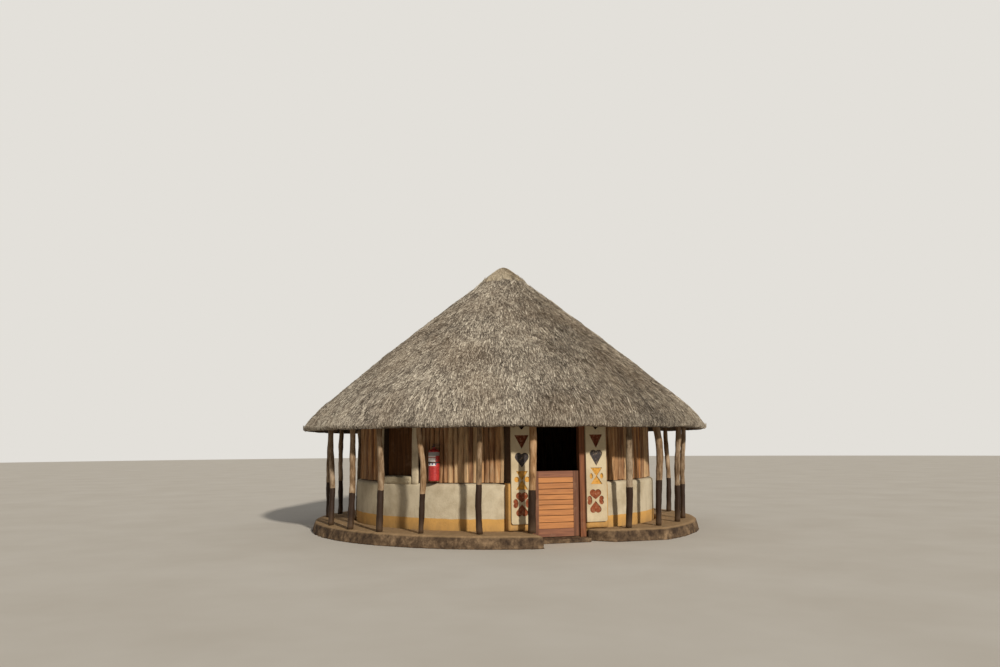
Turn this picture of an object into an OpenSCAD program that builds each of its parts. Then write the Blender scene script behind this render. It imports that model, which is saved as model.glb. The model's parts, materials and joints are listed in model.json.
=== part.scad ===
// Round thatched hut with a ring veranda, a stable door and a decorated door front.
// Origin on the ground at the hut's centre, +Z up, the door faces -Y.
// Azimuths are measured from the door, positive towards +X.

/* [Walls] */
// Radius of the plastered wall face
wall_r = 2790; // [2700:10:2900]
// Thickness of the plastered dado wall
wall_t = 230; // [180:10:280]
// Top of the plastered dado wall
dado_top = 915; // [800:5:1050]
// Radius that the split poles of the upper wall reach
clad_r = 2725; // [2690:5:2740]

/* [Veranda] */
// Height of the veranda floor above the ground
plinth_h = 190; // [120:5:260]
// Outer radius of the veranda floor
plinth_r = 3530; // [3500:10:3620]
// How far the plinth spreads down to its foot
plinth_batter = 60; // [0:5:100]
// Radius of the ring of posts under the beam
post_ring_r = 3330; // [3300:5:3400]
// Radius of a typical post behind the hut at its foot
post_r = 50; // [40:1:60]

/* [Roof] */
// Height of the thatch cone's apex, were it not rounded off
cone_z = 5027; // [4900:1:5100]
// Fall of the roof for each unit of radius
pitch = 0.813; // [0.78:0.001:0.86]
// Radius of the eave
eave_r = 3780; // [3740:10:3850]
// Number of rafters, every second one reaching the crown
rafter_count = 24; // [20:4:28]

/* [Door] */
// Width of the stable door's leaf
leaf_w = 800; // [760:1:840]
// Thickness of the leaf
leaf_t = 40; // [35:1:45]
// Top of the lower leaf
leaf_top = 1095; // [1000:5:1200]
// Width of one decorated panel beside the door
panel_w = 350; // [320:5:380]

/* [Window] */
// Azimuth of the window's centre
window_az = -57.75; // [-62:0.25:-52]
// Half the angle of the window's opening
window_half = 7.3; // [6:0.1:8]
// Top of the window sill
sill_z = 1020; // [980:5:1060]

/* [Hidden] */

ring_fn = 360;
round_fn = 48;
far = 9000;
// Pieces that meet face to face stay this far apart, in mm and in degrees
skin = 0.02;
seam = 0.001;

// Levels
floor_z = 65;
leaf_bottom = 75;
door_head_z = 2050;
window_head_z = 2000;

// Door front, measured out from the middle of the doorway: side is -1 for left, 1 for right
jamb_gap = 6;
jamb_w = 78;
stop_w = 15;
leaf_offset = 5;
leaf_x0 = leaf_offset - leaf_w / 2;
leaf_x1 = leaf_x0 + leaf_w;
// The left panel and the plaster under it lap over their jamb
panel_lap = 60;
pier_margin = 45;
clad_gap = 28;
function jamb_in(side) = (side > 0 ? leaf_x1 : -leaf_x0) + jamb_gap;
function jamb_out(side) = jamb_in(side) + jamb_w;
function panel_in(side) = jamb_out(side) - (side > 0 ? 0 : panel_lap);
function panel_out(side) = panel_in(side) + panel_w;
function pier_out(side) = panel_out(side) + pier_margin;

// Planes of the door front, as distances from the hut's axis, and its levels
panel_face = wall_r + 50;
panel_t = 40;
panel_back = panel_face - panel_t;
pier_face = wall_r + 20;
frame_face = wall_r - skin;
leaf_face = wall_r - 50;
leaf_back = leaf_face - leaf_t;
frame_back = wall_r - 150;
pier_back = wall_r - 210;
closer_t = 80;
closer_back = pier_back - closer_t;
panel_bottom = 295;
pier_top = door_head_z + jamb_w;

// Roof lines, all cones about the vertical axis
slope = atan(pitch);
thatch_v = 235;
batten_r = 14;
rafter_butt_r = 45;
rafter_tip_r = 30;
rafter_end_r = 3560;
crown_r = 155;
plate_r = 2680;
plate_pole_r = 50;
beam_pole_r = 45;
seat_cut = 10;
notch = 8;
function line_top(r) = cone_z - pitch * r;
function line_under(r) = line_top(r) - thatch_v;
function line_rafter(r) = line_under(r) - 2 * batten_r / cos(slope);
function rafter_r(r) =
    rafter_tip_r + (rafter_butt_r - rafter_tip_r) * (r - crown_r) / (rafter_end_r - crown_r);
function rafter_low(r) = line_rafter(r) - 2 * rafter_r(r) / cos(slope);
plate_z = rafter_low(plate_r) - plate_pole_r / cos(slope) + notch;
beam_z = rafter_low(post_ring_r) - beam_pole_r / cos(slope) + notch;
wall_top = plate_z - plate_pole_r + seat_cut;
post_top = beam_z - beam_pole_r + seat_cut;

function polar(r, az) = [r * sin(az), -r * cos(az)];
function hash(i, k) = let(v = sin(i * 127.1 + k * 311.7) * 437.585) v - floor(v);
function mix(a, b, t) = a + (b - a) * t;
function bezier(p, t) =
    pow(1 - t, 3) * p[0] + 3 * t * pow(1 - t, 2) * p[1]
    + 3 * t * t * (1 - t) * p[2] + pow(t, 3) * p[3];

// A profile in radius and height, turned from one azimuth to the next
module turned(az0, az1) {
    rotate([0, 0, az0 - 90])
        rotate_extrude(angle = az1 - az0, $fn = ring_fn)
            children();
}

module ring_wall(r0, r1, z0, z1, az0, az1) {
    turned(az0, az1)
        translate([r0, z0])
            square([r1 - r0, z1 - z0]);
}

// A box given by its lowest and highest corners
module block(low, high) {
    translate(low)
        cube(high - low);
}

// A box beside the doorway: x counts away from the door, front and back from the hut's axis
module side_block(side, x0, x1, z0, z1, front, back) {
    mirror([side < 0 ? 1 : 0, 0, 0])
        block([x0, -front, z0], [x1, -back, z1]);
}

// Plinth

plinth_edge = 25;
plinth_in = wall_r + skin;

module plinth_ring(az0, az1) {
    color("#8f8573")
        difference() {
            turned(az0 + seam, az1 - seam)
                polygon([
                    [plinth_in, 0],
                    [plinth_r + plinth_batter, 0],
                    [plinth_r + plinth_edge / 2, plinth_h - plinth_edge],
                    [plinth_r - plinth_edge / 2, plinth_h],
                    [plinth_in, plinth_h]
                ]);
            doorway_gap();
            straight_front();
        }
}

// The gap before the door: straight on the left, slanting outwards on the right
gap_slant = 1.06;
front_y = 3075;

module doorway_gap() {
    translate([0, 0, -1])
        linear_extrude(plinth_h + 2)
            polygon([
                [-jamb_out(-1), 0],
                [jamb_out(1), 0],
                [jamb_out(1), -pier_face],
                [jamb_out(1) + gap_slant * (far - pier_face), -far],
                [-jamb_out(-1), -far]
            ]);
}

// Takes off all that stands before the straight stretch right of the door
module straight_front() {
    translate([0, -front_y, plinth_h])
        rotate([-atan(plinth_batter / plinth_h), 0, 0])
            block([0, -far, -far / 2], [far, 0, far / 2]);
}

module floor_slab() {
    color("#8a7f70")
        cylinder(r = wall_r, h = floor_z, $fn = ring_fn);
}

threshold_reach = 200;
threshold_top = floor_z - 3;

module threshold() {
    color("#7d7466")
        difference() {
            block([1 - jamb_out(-1), -wall_r - threshold_reach, 0],
                  [jamb_out(1) - 1, -pier_back, threshold_top]);
            translate([0, 0, -1])
                cylinder(r = plinth_in, h = threshold_top + 2, $fn = ring_fn);
        }
}

// Dado wall

dado_round = 18;

module dado(az0, az1) {
    color("#d9d3c1")
        difference() {
            turned(az0 + seam, az1 - seam)
                polygon([
                    [wall_r - wall_t, floor_z],
                    [wall_r, floor_z],
                    [wall_r, dado_top - dado_round],
                    [wall_r - dado_round * 0.3, dado_top - dado_round * 0.3],
                    [wall_r - dado_round, dado_top],
                    [wall_r - wall_t, dado_top]
                ]);
            block([-pier_out(-1), -far, -1], [pier_out(1), 0, far]);
        }
}

// Upper wall of split poles, flat inside and rounded outside

pole_pitch = 2.1;
pole_r = 48;
pole_spread = 6;
pole_back = clad_r - 78;
pole_valley = clad_r - 36;

module cladding(az0, az1) {
    count = round((az1 - az0) / pole_pitch);
    step = (az1 - az0) / count;
    color("#8a6238")
        translate([0, 0, dado_top + skin])
            linear_extrude(wall_top - dado_top - 2 * skin)
                difference() {
                    union() {
                        for (i = [0 : count - 1])
                            let (az = az0 + (i + 0.5) * step, r = pole_r + pole_spread * hash(i, az0))
                                translate(polar(clad_r - r, az))
                                    circle(r = r, $fn = round_fn);
                        cladding_core(az0, az1);
                    }
                    circle(r = pole_back, $fn = ring_fn);
                    cladding_ends(az0 + seam, az1 - seam);
                }
}

module cladding_core(az0, az1) {
    intersection() {
        difference() {
            circle(r = pole_valley, $fn = ring_fn);
            circle(r = pole_back - 5, $fn = ring_fn);
        }
        wedge(az0, az1);
    }
}

// Everything past the two ends of a stretch of cladding, and the door front
module cladding_ends(az0, az1) {
    difference() {
        circle(r = far / 2);
        wedge(az0, az1);
    }
    translate([-panel_out(-1) - clad_gap, -far])
        square([panel_out(-1) + panel_out(1) + 2 * clad_gap, far]);
}

// Plan of a slice between two azimuths
module wedge(az0, az1) {
    mid = (az0 + az1) / 2;
    polygon([[0, 0], polar(far, az0), polar(far, mid), polar(far, az1)]);
}

// Window, in a hole the full height of the pole wall

jamb_az = 2.85;
reveal = 200;
shutter_r = wall_r - 130;
shutter_t = 24;
batten_h = 80;
batten_t = 22;

module window_jambs() {
    color("#cfc8b4")
        for (s = [-1, 1])
            let (a = window_az + s * window_half, b = window_az + s * (window_half + jamb_az))
                ring_wall(wall_r - reveal, wall_r, dado_top + skin, wall_top, min(a, b), max(a, b));
}

// Plaster below the window, swelling out to a rounded sill that slopes inwards
module window_sill() {
    color("#d5ceba")
        turned(window_az - window_half + seam, window_az + window_half - seam)
            polygon([
                [wall_r - reveal, dado_top + skin],
                [wall_r, dado_top + skin],
                [wall_r + 2, sill_z - 58],
                [wall_r + 14, sill_z - 46],
                [wall_r + 18, sill_z - 30],
                [wall_r + 8, sill_z - 14],
                [wall_r - 60, sill_z],
                [wall_r - reveal, sill_z]
            ]);
}

module window_lintel() {
    color("#cfc8b4")
        ring_wall(wall_r - reveal, wall_r, window_head_z + skin, wall_top,
                  window_az - window_half + seam, window_az + window_half - seam);
}

// Boarded shutter with two level battens across its back
module window_shutter() {
    half = shutter_r * sin(window_half) - 4;
    color("#4a3222")
        rotate([0, 0, window_az])
            translate([0, -shutter_r * cos(window_half), 0]) {
                block([-half, 0, sill_z], [half, shutter_t, window_head_z]);
                for (z = [sill_z + 120, window_head_z - 200])
                    block([-half + 30, shutter_t, z], [half - 30, shutter_t + batten_t, z + batten_h]);
            }
}

// Door front

// A pier in two layers: the wall behind, and plaster before it that may lap over the jamb
module door_pier(side) {
    jamb = jamb_out(side);
    edge = panel_in(side);
    outer = panel_out(side);
    color("#c9964a")
        union() {
            difference() {
                side_block(side, jamb, pier_out(side), floor_z, dado_top, wall_r, pier_back);
                turned(0, 360)
                    translate([wall_r, 0])
                        square([far, plinth_h]);
            }
            side_block(side, jamb, outer, dado_top - 1, pier_top, wall_r, pier_back);
            side_block(side, outer - 50, outer + clad_gap, dado_top - 1, pier_top,
                       pier_back + 1, closer_back);
            difference() {
                side_block(side, edge, pier_out(side), plinth_h, dado_top, pier_face, wall_r);
                side_block(side, edge - 1, outer, panel_bottom, dado_top + 1, far, panel_back);
            }
            side_block(side, edge, outer, dado_top - 1, pier_top, panel_back, wall_r);
            if (edge < jamb)
                side_block(side, edge, jamb - skin, threshold_top, plinth_h + 1, pier_face, wall_r);
        }
}

recess = 22;
inlay = 4;
panel_corner = 35;

module door_panel(side) {
    color("#ddd8c6")
        difference() {
            on_panel(side, panel_back, panel_t)
                panel_outline(side);
            on_panel(side, panel_face - recess, recess + 5)
                motifs(side);
        }
}

// An outline in the plane of a panel, given a thickness towards the front
module on_panel(side, back, depth) {
    mirror([side < 0 ? 1 : 0, 0, 0])
        translate([0, -back, 0])
            rotate([90, 0, 0])
                linear_extrude(depth)
                    children();
}

module panel_outline(side) {
    difference() {
        translate([panel_in(side), panel_bottom])
            square([panel_w, pier_top - panel_bottom]);
        translate([panel_out(side) - panel_corner, panel_bottom])
            difference() {
                translate([0, -1])
                    square([panel_corner + 1, panel_corner + 1]);
                translate([0, panel_corner])
                    circle(r = panel_corner, $fn = round_fn);
            }
    }
}

module panel_motifs() {
    color("#a04a2a")
        for (side = [-1, 1])
            on_panel(side, panel_face - recess, inlay)
                motifs(side);
}

// The figures down the left and the right panel, which differ a little as painted by hand:
// the height of the top edge, half the width, and the length downwards
top_triangles = [[1865, 115, 120], [1865, 115, 120]];
triangles = [[1662, 120, 213], [1670, 115, 219]];
hearts = [[1390, 115, 230], [1427, 107, 256]];
hourglasses = [[1106, 98, 285], [1142, 102, 260]];
// Dots beside the waist: height, distance from the axis, half width, half height
dots = [[977, 86, 41, 43], [1010, 90, 27, 44]];
// Rosettes: distance outwards from the panel's axis, height
rosettes = [[3, 610], [-24, 629]];

module motifs(side) {
    column = side < 0 ? 0 : 1;
    dot = dots[column];
    translate([panel_in(side) + panel_w / 2, 0]) {
        for (t = [top_triangles[column], triangles[column]])
            translate([0, t[0]])
                triangle(t[1], t[2]);
        translate([0, hearts[column][0]])
            heart(hearts[column][1], hearts[column][2]);
        translate([0, hourglasses[column][0]])
            hourglass(hourglasses[column][1], hourglasses[column][2]);
        for (s = [-1, 1])
            translate([s * dot[1], dot[0]])
                scale([dot[2] / dot[3], 1])
                    circle(r = dot[3], $fn = round_fn);
        translate(rosettes[column])
            rosette();
    }
}

// A triangle hanging point down from its top edge
module triangle(half, h) {
    polygon([[-half, 0], [half, 0], [0, -h]]);
}

// A heart with its lobes' tops at zero and its point at -h: each lobe is an arc from
// where the side from the point touches it to where the two lobes meet
lobe_steps = 10;

module heart(half, h) {
    lobe = half * 0.56;
    inset = half - lobe;
    reach = norm([inset, h - lobe]);
    touch = 90 + asin(inset / reach) - acos(lobe / reach);
    meet = acos(-inset / lobe);
    arc = [for (k = [0 : lobe_steps])
        let (a = mix(-touch, meet, k / lobe_steps))
            [inset + lobe * cos(a), -lobe + lobe * sin(a)]];
    left = [for (k = [lobe_steps - 1 : -1 : 0]) [-arc[k][0], arc[k][1]]];
    polygon(concat([[0, -h]], arc, left));
}

module hourglass(half, h) {
    waist = 6;
    polygon([[-half, 0], [half, 0], [waist, -h / 2], [half, -h], [-half, -h], [-waist, -h / 2]]);
}

// Four hearts with their points towards one centre: how far the lobes reach, half the
// width and the length of the upper, the lower and the two side hearts
upper_heart = [172, 100, 160];
lower_heart = [198, 98, 186];
side_heart = [142, 70, 84];

module rosette() {
    petal(0, upper_heart);
    petal(180, lower_heart);
    petal(90, side_heart);
    petal(270, side_heart);
}

module petal(turn, size) {
    rotate(turn)
        translate([0, size[0]])
            heart(size[1], size[2]);
}

module door_lintel() {
    color("#6b4a30")
        union() {
            block([-panel_out(-1), -pier_back - closer_t, pier_top], [panel_out(1), -pier_back, wall_top]);
            block([-jamb_out(-1), -frame_face, pier_top], [jamb_out(1), -pier_back, wall_top - skin]);
        }
}

module door_frame() {
    color("#7a4028")
        difference() {
            union() {
                for (side = [-1, 1]) {
                    side_block(side, jamb_in(side), jamb_out(side), floor_z, pier_top,
                               frame_face, frame_back);
                    side_block(side, jamb_in(side) - stop_w, jamb_in(side) + 1, floor_z,
                               door_head_z + 1, frame_face, leaf_face + jamb_gap);
                }
                block([-jamb_in(-1) - 1, -frame_face, door_head_z], [jamb_in(1) + 1, -frame_back, pier_top]);
            }
            keep_plate(keep_t + skin);
        }
}

// Ironwork: straps on the leaf with eyes that turn on pins fixed to the frame

pin_r = 5;
pin_clearance = 0.2;
pin_collar_r = 8;
pin_drop = 12;
eye_r = 9;
pin_x = leaf_x1 - 5;
pin_y = -leaf_back + 16;
strap_h = 36;
strap_t = 5;
strap_l = 327;
strap_zs = [leaf_bottom + 75, leaf_top - 95];
pin_foot = jamb_in(1) - 3;

module frame_ironwork() {
    color("#3a3a3a") {
        for (z = strap_zs)
            translate([0, 0, z - pin_drop]) {
                translate([pin_x, pin_y, 0]) {
                    cylinder(r = pin_r, h = strap_h + 16, $fn = round_fn);
                    cylinder(r = pin_collar_r, h = 10, $fn = round_fn);
                }
                block([pin_x, pin_y - 4, 0], [jamb_in(1), pin_y + 40, 10]);
                block([pin_foot, pin_y + 14, -18], [jamb_in(1), pin_y + 40, 52]);
            }
        bolt_keep();
    }
}

bolt_r = 5;
bolt_l = 150;
bolt_z = leaf_top - 50;
bolt_y = 14 - leaf_back;
keep_t = 3;

// The keep that the bolt shoots into, let into the left jamb
module keep_plate(t) {
    block([-jamb_in(-1) - t, bolt_y - 12, bolt_z - 30], [skin - jamb_in(-1), bolt_y + 24, bolt_z + 30]);
}

module bolt_keep() {
    difference() {
        keep_plate(keep_t);
        translate([-jamb_in(-1) - 2 * keep_t, bolt_y, bolt_z])
            rotate([0, 90, 0])
                cylinder(r = bolt_r + 2, h = 4 * keep_t, $fn = round_fn);
    }
}

module leaf_straps() {
    strap_end = pin_x - 3;
    color("#3a3a3a")
        for (z = strap_zs)
            difference() {
                union() {
                    block([strap_end - strap_l, -leaf_back, z],
                          [strap_end, strap_t - leaf_back, z + strap_h]);
                    block([strap_end - strap_t, -leaf_back, z], [strap_end, pin_y, z + strap_h]);
                    translate([pin_x, pin_y, z])
                        cylinder(r = eye_r, h = strap_h, $fn = round_fn);
                }
                translate([pin_x, pin_y, z - 1])
                    cylinder(r = pin_r + pin_clearance, h = strap_h + 2, $fn = round_fn);
            }
}

// Bolt on its plate, held by two staples, with a knob to draw it
module leaf_bolt() {
    x0 = leaf_x0 + 6;
    color("#55504a") {
        block([x0, -leaf_back, bolt_z - 22], [x0 + 120, 3 - leaf_back, bolt_z + 22]);
        translate([x0 + 2, bolt_y, bolt_z])
            rotate([0, 90, 0])
                cylinder(r = bolt_r, h = bolt_l, $fn = round_fn);
        for (x = [x0 + 18, x0 + 90])
            block([x, -leaf_back, bolt_z - 9], [x + 14, bolt_y + 8, bolt_z + 9]);
        translate([x0 + bolt_l - 10, bolt_y, bolt_z - 6])
            cylinder(r = bolt_r, h = 34, $fn = round_fn);
    }
}

// Lower leaf of the stable door

stile_w = 108;
top_rail_h = 97;
bottom_rail_h = 124;

module leaf_stiles() {
    color("#8a4b2d")
        for (x = [leaf_x0, leaf_x1 - stile_w])
            block([x, -leaf_face, leaf_bottom], [x + stile_w, -leaf_back, leaf_top]);
}

module leaf_rails() {
    x0 = leaf_x0 + stile_w;
    x1 = leaf_x1 - stile_w;
    color("#96532f") {
        block([x0, -leaf_face, leaf_top - top_rail_h], [x1, -leaf_back, leaf_top]);
        block([x0, -leaf_face, leaf_bottom], [x1, -leaf_back, leaf_bottom + bottom_rail_h]);
    }
}

// Level boards between the rails, from the lowest up, in parts of the height they share;
// each slopes out towards its lower edge
board_heights = [98, 105, 92, 75, 79, 81, 87, 94, 88];
board_low_inset = 2;
board_high_inset = 11;
board_back_inset = 8;
function sum_of(list, n) = n == 0 ? 0 : list[n - 1] + sum_of(list, n - 1);

module leaf_boards() {
    count = len(board_heights);
    z0 = leaf_bottom + bottom_rail_h;
    z1 = leaf_top - top_rail_h;
    whole = sum_of(board_heights, count);
    levels = [for (i = [0 : count]) mix(z0, z1, sum_of(board_heights, i) / whole)];
    front = [for (i = [0 : count - 1])
        each [[board_low_inset - leaf_face, levels[i]], [board_high_inset - leaf_face, levels[i + 1]]]];
    back = -leaf_back - board_back_inset;
    color("#c07a3c")
        translate([leaf_x0 + stile_w, 0, 0])
            rotate([90, 0, 90])
                linear_extrude(leaf_w - 2 * stile_w)
                    polygon(concat([[back, z0]], front, [[back, z1]]));
}

// Veranda posts: crooked logs, open in front of the door

post_sides = 10;
post_rings = 9;
post_last = post_rings - 1;
post_steps = [for (k = [0 : post_last]) k / post_last];

// Front posts: azimuth and radius of the foot, radius of the log at foot, middle and head,
// and how far each ring bends to the right as seen from the path to the door
left_posts = [
    [-9.8, 3175, [60, 56, 52], [0, 2, 4, 10, 17, 23, 29, 29, 27]],
    [-23.9, 3250, [48, 44, 38], [0, -12, -21, -13, -6, -4, -2, 0, 2]],
    [-39.6, 3320, [41, 46, 40], [-14, -7, 0, 6, 20, 19, -24, -56, -62]],
    [-52.2, 3410, [51, 49, 45], [0, 1, 2, 4, 18, 0, -17, -27, -37]],
    [-63.5, 3440, [51, 49, 45], [-5, 0, 6, 10, 7, 2, -4, -12, -19]],
    [-77.8, 3395, [51, 49, 45], [0, 0, 0, 0, -17, -38, -61, -70, -75]]
];
right_posts = [
    [21.8, 3140, [49, 57, 42], [0, 12, 20, 22, 23, 25, 26, 26, 25]],
    [33, 3280, [49, 58, 64], [0, 5, 10, 26, 42, 54, 60, 36, 6]],
    [46.8, 3300, [50, 48, 44], [0, 9, 17, 22, 26, 36, 55, 74, 80]],
    [58.6, 3300, [44, 44, 40], [0, 8, 16, 22, 29, 42, 66, 88, 95]],
    [85, 3330, [48, 45, 40], [0, 6, 14, 18, 12, 4, -8, -16, -20]]
];
rear_posts = [99, 113, 127, 141, 155, 170, 185, 200, 215, 229, 242, 255];
path_az = -17.1;
post_aside = polar(1, path_az + 90);
post_toward = polar(1, path_az);
// A head may stand this far off the middle of the beam
head_play = 40;

// How far a post leans towards the path, so that its head comes under the beam
function post_lean(head) =
    let (d = head * post_toward, r = norm(head),
         seat = min(max(r, post_ring_r - head_play), post_ring_r + head_play))
        sign(d) * sqrt(d * d - r * r + seat * seat) - d;

function front_line(post) =
    let (foot = polar(post[1], post[0]), bends = post[3],
         lean = post_lean(foot + bends[post_last] * post_aside))
        [for (k = [0 : post_last]) foot + bends[k] * post_aside + lean * post_steps[k] * post_toward];
function front_radii(post) = [for (t = post_steps)
    t < 0.5 ? mix(post[2][0], post[2][1], 2 * t) : mix(post[2][1], post[2][2], 2 * t - 1)];

// Rear posts wander in the same way, each by its own number
function rear_line(i) = [for (t = post_steps)
    polar(post_ring_r, rear_posts[i]) + sin(180 * t) * [
        20 * (sin(170 * t + 360 * hash(i, 1)) - sin(360 * hash(i, 1))) + 40 * (hash(i, 3) - 0.5) * t,
        16 * (sin(200 * t + 360 * hash(i, 2)) - sin(360 * hash(i, 2)))]];
function rear_radii(i) = [for (t = post_steps)
    post_r * (0.94 + 0.18 * hash(i, 4)) * (1 - 0.16 * t) * (1 + 0.05 * sin(900 * t + 360 * hash(i, 5)))];

// A log through the given centres with the given radii, slightly oval, cut level at both ends
module post(line, radii) {
    oval = 0.05;
    turn = line[0][0];
    points = [for (k = [0 : post_last])
        for (s = [0 : post_sides - 1])
            let (a = 360 * s / post_sides, r = radii[k] * (1 + oval * sin(2 * a + turn)))
                [line[k][0] + r * cos(a), line[k][1] + r * sin(a), mix(plinth_h, post_top, post_steps[k])]];
    walls = [for (k = [0 : post_last - 1])
        for (s = [0 : post_sides - 1])
            let (a = k * post_sides + s, b = k * post_sides + (s + 1) % post_sides)
                each [[a, b + post_sides, b], [a, a + post_sides, b + post_sides]]];
    foot = [[for (s = [0 : post_sides - 1]) s]];
    head = [[for (s = [post_sides - 1 : -1 : 0]) post_last * post_sides + s]];
    polyhedron(points = points, faces = concat(foot, walls, head));
}

module front_posts(list) {
    color("#6f5a46")
        for (p = list)
            post(front_line(p), front_radii(p));
}

module posts_rear() {
    color("#6f5a46")
        for (i = [0 : len(rear_posts) - 1])
            post(rear_line(i), rear_radii(i));
}

// Roof frame

// A bent pole lying on a ring, hewn flat underneath, between two azimuths
module bent_pole(ring_r, z, pole_r, az0, az1) {
    turned(az0, az1)
        intersection() {
            translate([ring_r, z])
                circle(r = pole_r, $fn = round_fn);
            translate([ring_r - 2 * pole_r, z - pole_r + seat_cut])
                square([4 * pole_r, 4 * pole_r]);
        }
}

beam_pieces = 24;
plate_pieces = 12;
butt_joint = 0.02;

module eaves_beam() {
    step = 360 / beam_pieces;
    color("#5a4636")
        for (i = [0 : beam_pieces - 1])
            bent_pole(post_ring_r, beam_z, beam_pole_r,
                      (i + 0.5) * step + butt_joint, (i + 1.5) * step - butt_joint);
}

module wall_plate() {
    step = 360 / plate_pieces;
    color("#5f4b39")
        for (i = [0 : plate_pieces - 1])
            bent_pole(plate_r, plate_z, plate_pole_r,
                      (i + 0.25) * step + butt_joint, (i + 1.25) * step - butt_joint);
}

long_rafter_r = crown_r + 60;
short_rafter_r = 1000;

// One rafter along -Y, from its inner end to the eave, before it is notched
module rafter_pole(inner_r) {
    r0 = rafter_r(inner_r);
    r1 = rafter_butt_r;
    a = [0, -inner_r, line_rafter(inner_r) - r0 / cos(slope)];
    b = [0, -rafter_end_r, line_rafter(rafter_end_r) - r1 / cos(slope)];
    run = b - a;
    translate(a)
        rotate([atan2(-run[1], run[2]), 0, 0])
            cylinder(r1 = r0, r2 = r1, h = norm(run), $fn = round_fn);
}

module rafters() {
    color("#6a5340")
        for (i = [0 : rafter_count - 1])
            rotate([0, 0, i * 360 / rafter_count])
                difference() {
                    rafter_pole(i % 2 == 0 ? long_rafter_r : short_rafter_r);
                    rafter_notch(post_ring_r, beam_z, beam_pole_r);
                    rafter_notch(plate_r, plate_z, plate_pole_r);
                    cylinder(r = crown_r, h = far, $fn = round_fn);
                }
}

// The round seat that a rafter has where it crosses a ring pole
module rafter_notch(ring_r, z, pole_r) {
    translate([-100, -ring_r, z])
        rotate([0, 90, 0])
            cylinder(r = pole_r + 0.5, h = 200, $fn = round_fn);
}

crown_h = 170;

module crown_block() {
    color("#5a4636")
        translate([0, 0, line_rafter(crown_r) - crown_h])
            cylinder(r = crown_r, h = crown_h, $fn = round_fn);
}

batten_first = 3460;
batten_step = 300;
batten_rings = 11;
batten_sides = 6;

// Laths in rings round the rafters, six-sided, lying flat on them under the thatch
module battens() {
    corner_r = (batten_r - 0.2) / cos(180 / batten_sides);
    color("#8b7355")
        for (i = [0 : batten_rings - 1])
            let (r = batten_first - i * batten_step)
                turned(0, 360)
                    translate([r, line_rafter(r) + batten_r / cos(slope)])
                        rotate(-slope)
                            circle(r = corner_r, $fn = batten_sides);
}

// Thatch

cap_r = 500;
cap_lap = 120;
thatch_in = cap_r - cap_lap;
shoulder_r = 3430;
belly = 40;
top_steps = 6;
lip_steps = 6;
lip_z = 1855;
lip_tip_z = 1772;
soffit_r = eave_r - 175;

thatch_top = [for (k = [0 : top_steps])
    let (t = k / top_steps, r = mix(thatch_in, shoulder_r, t))
        [r, line_top(r) + belly * sin(180 * t)]];
// The eave rounds over to its widest point and back under itself
lip_outer = [[shoulder_r, line_top(shoulder_r)], [shoulder_r + 170, line_top(shoulder_r + 170)],
             [eave_r - 15, lip_z + 110], [eave_r, lip_z]];
lip_inner = [[eave_r, lip_z], [eave_r, lip_z - 55], [eave_r - 40, lip_tip_z], [eave_r - 110, lip_tip_z]];
lip_over = [for (k = [1 : lip_steps]) bezier(lip_outer, k / lip_steps)];
lip_under = [for (k = [1 : lip_steps]) bezier(lip_inner, k / lip_steps)];

module thatch(az0, az1) {
    color("#8d8478")
        turned(az0 + seam, az1 - seam)
            polygon(concat(thatch_top, lip_over, lip_under,
                           [[soffit_r, line_under(soffit_r)], [thatch_in, line_under(thatch_in)]]));
}

// Cap of grass over the top courses, gathered to a small tuft; the crown shows through below
module thatch_cap() {
    color("#b3a37f")
        rotate_extrude($fn = 120)
            polygon([
                [0, line_under(0) - 60],
                [crown_r, line_under(crown_r)],
                [thatch_in, line_under(thatch_in)],
                [thatch_in, line_top(thatch_in) + 0.1],
                [cap_r, line_top(cap_r) + 14],
                [cap_r - 20, line_top(cap_r - 20) + 34],
                [260, line_top(260) + 42],
                [125, line_top(125) + 26],
                [60, 4978],
                [20, 4996],
                [0, 5000]
            ]);
}

// Fire extinguisher hung on the cladding

ext_az = -40.7;
ext_r = 89;
ext_z0 = 950;
ext_z1 = 1465;
ext_neck_r = 22;
ext_neck_h = 14;
ext_shoulder_h = 62;
ext_fn = 72;
bracket_t = 13;
band_t = 3;
band_h = 26;

module at_extinguisher() {
    rotate([0, 0, ext_az])
        translate([0, -clad_r - bracket_t - 1 - ext_r, 0])
            children();
}

module extinguisher_body() {
    foot = [[0, ext_z0 + 8], [ext_r - 14, ext_z0], [ext_r - 4, ext_z0 + 4], [ext_r, ext_z0 + 14]];
    shoulder = [for (a = [0 : 15 : 75])
        [ext_r * cos(a), ext_z1 - ext_shoulder_h * (1 - sin(a))]];
    neck = [[ext_neck_r, ext_z1], [ext_neck_r, ext_z1 + ext_neck_h], [0, ext_z1 + ext_neck_h]];
    color("#b3202a")
        at_extinguisher()
            rotate_extrude($fn = ext_fn)
                polygon(concat(foot, shoulder, neck));
}

// Valve stem, the fixed grip with the squeeze lever over it, and the outlet
module extinguisher_valve() {
    color("#2e2c2b")
        at_extinguisher()
            translate([0, 0, ext_z1 + ext_neck_h]) {
                cylinder(r = 17, h = 28, $fn = round_fn);
                block([-9, -14, 24], [100, 14, 34]);
                block([-9, -9, 33], [8, 9, 49]);
                block([-9, -12, 48], [112, 12, 56]);
                translate([-34, 0, 14])
                    rotate([0, 90, 0])
                        cylinder(r = 9, h = 20, $fn = round_fn);
            }
}

// Wall plate and the band round the body
module extinguisher_bracket() {
    band_z = ext_z0 + 280;
    color("#4b4642")
        at_extinguisher() {
            block([-20, ext_r, ext_z0 + 120], [20, ext_r + bracket_t, ext_z1 - ext_shoulder_h]);
            difference() {
                translate([0, 0, band_z])
                    cylinder(r = ext_r + band_t, h = band_h, $fn = ext_fn);
                translate([0, 0, band_z - 1])
                    cylinder(r = ext_r + 0.2, h = band_h + 2, $fn = ext_fn);
            }
        }
}

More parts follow.
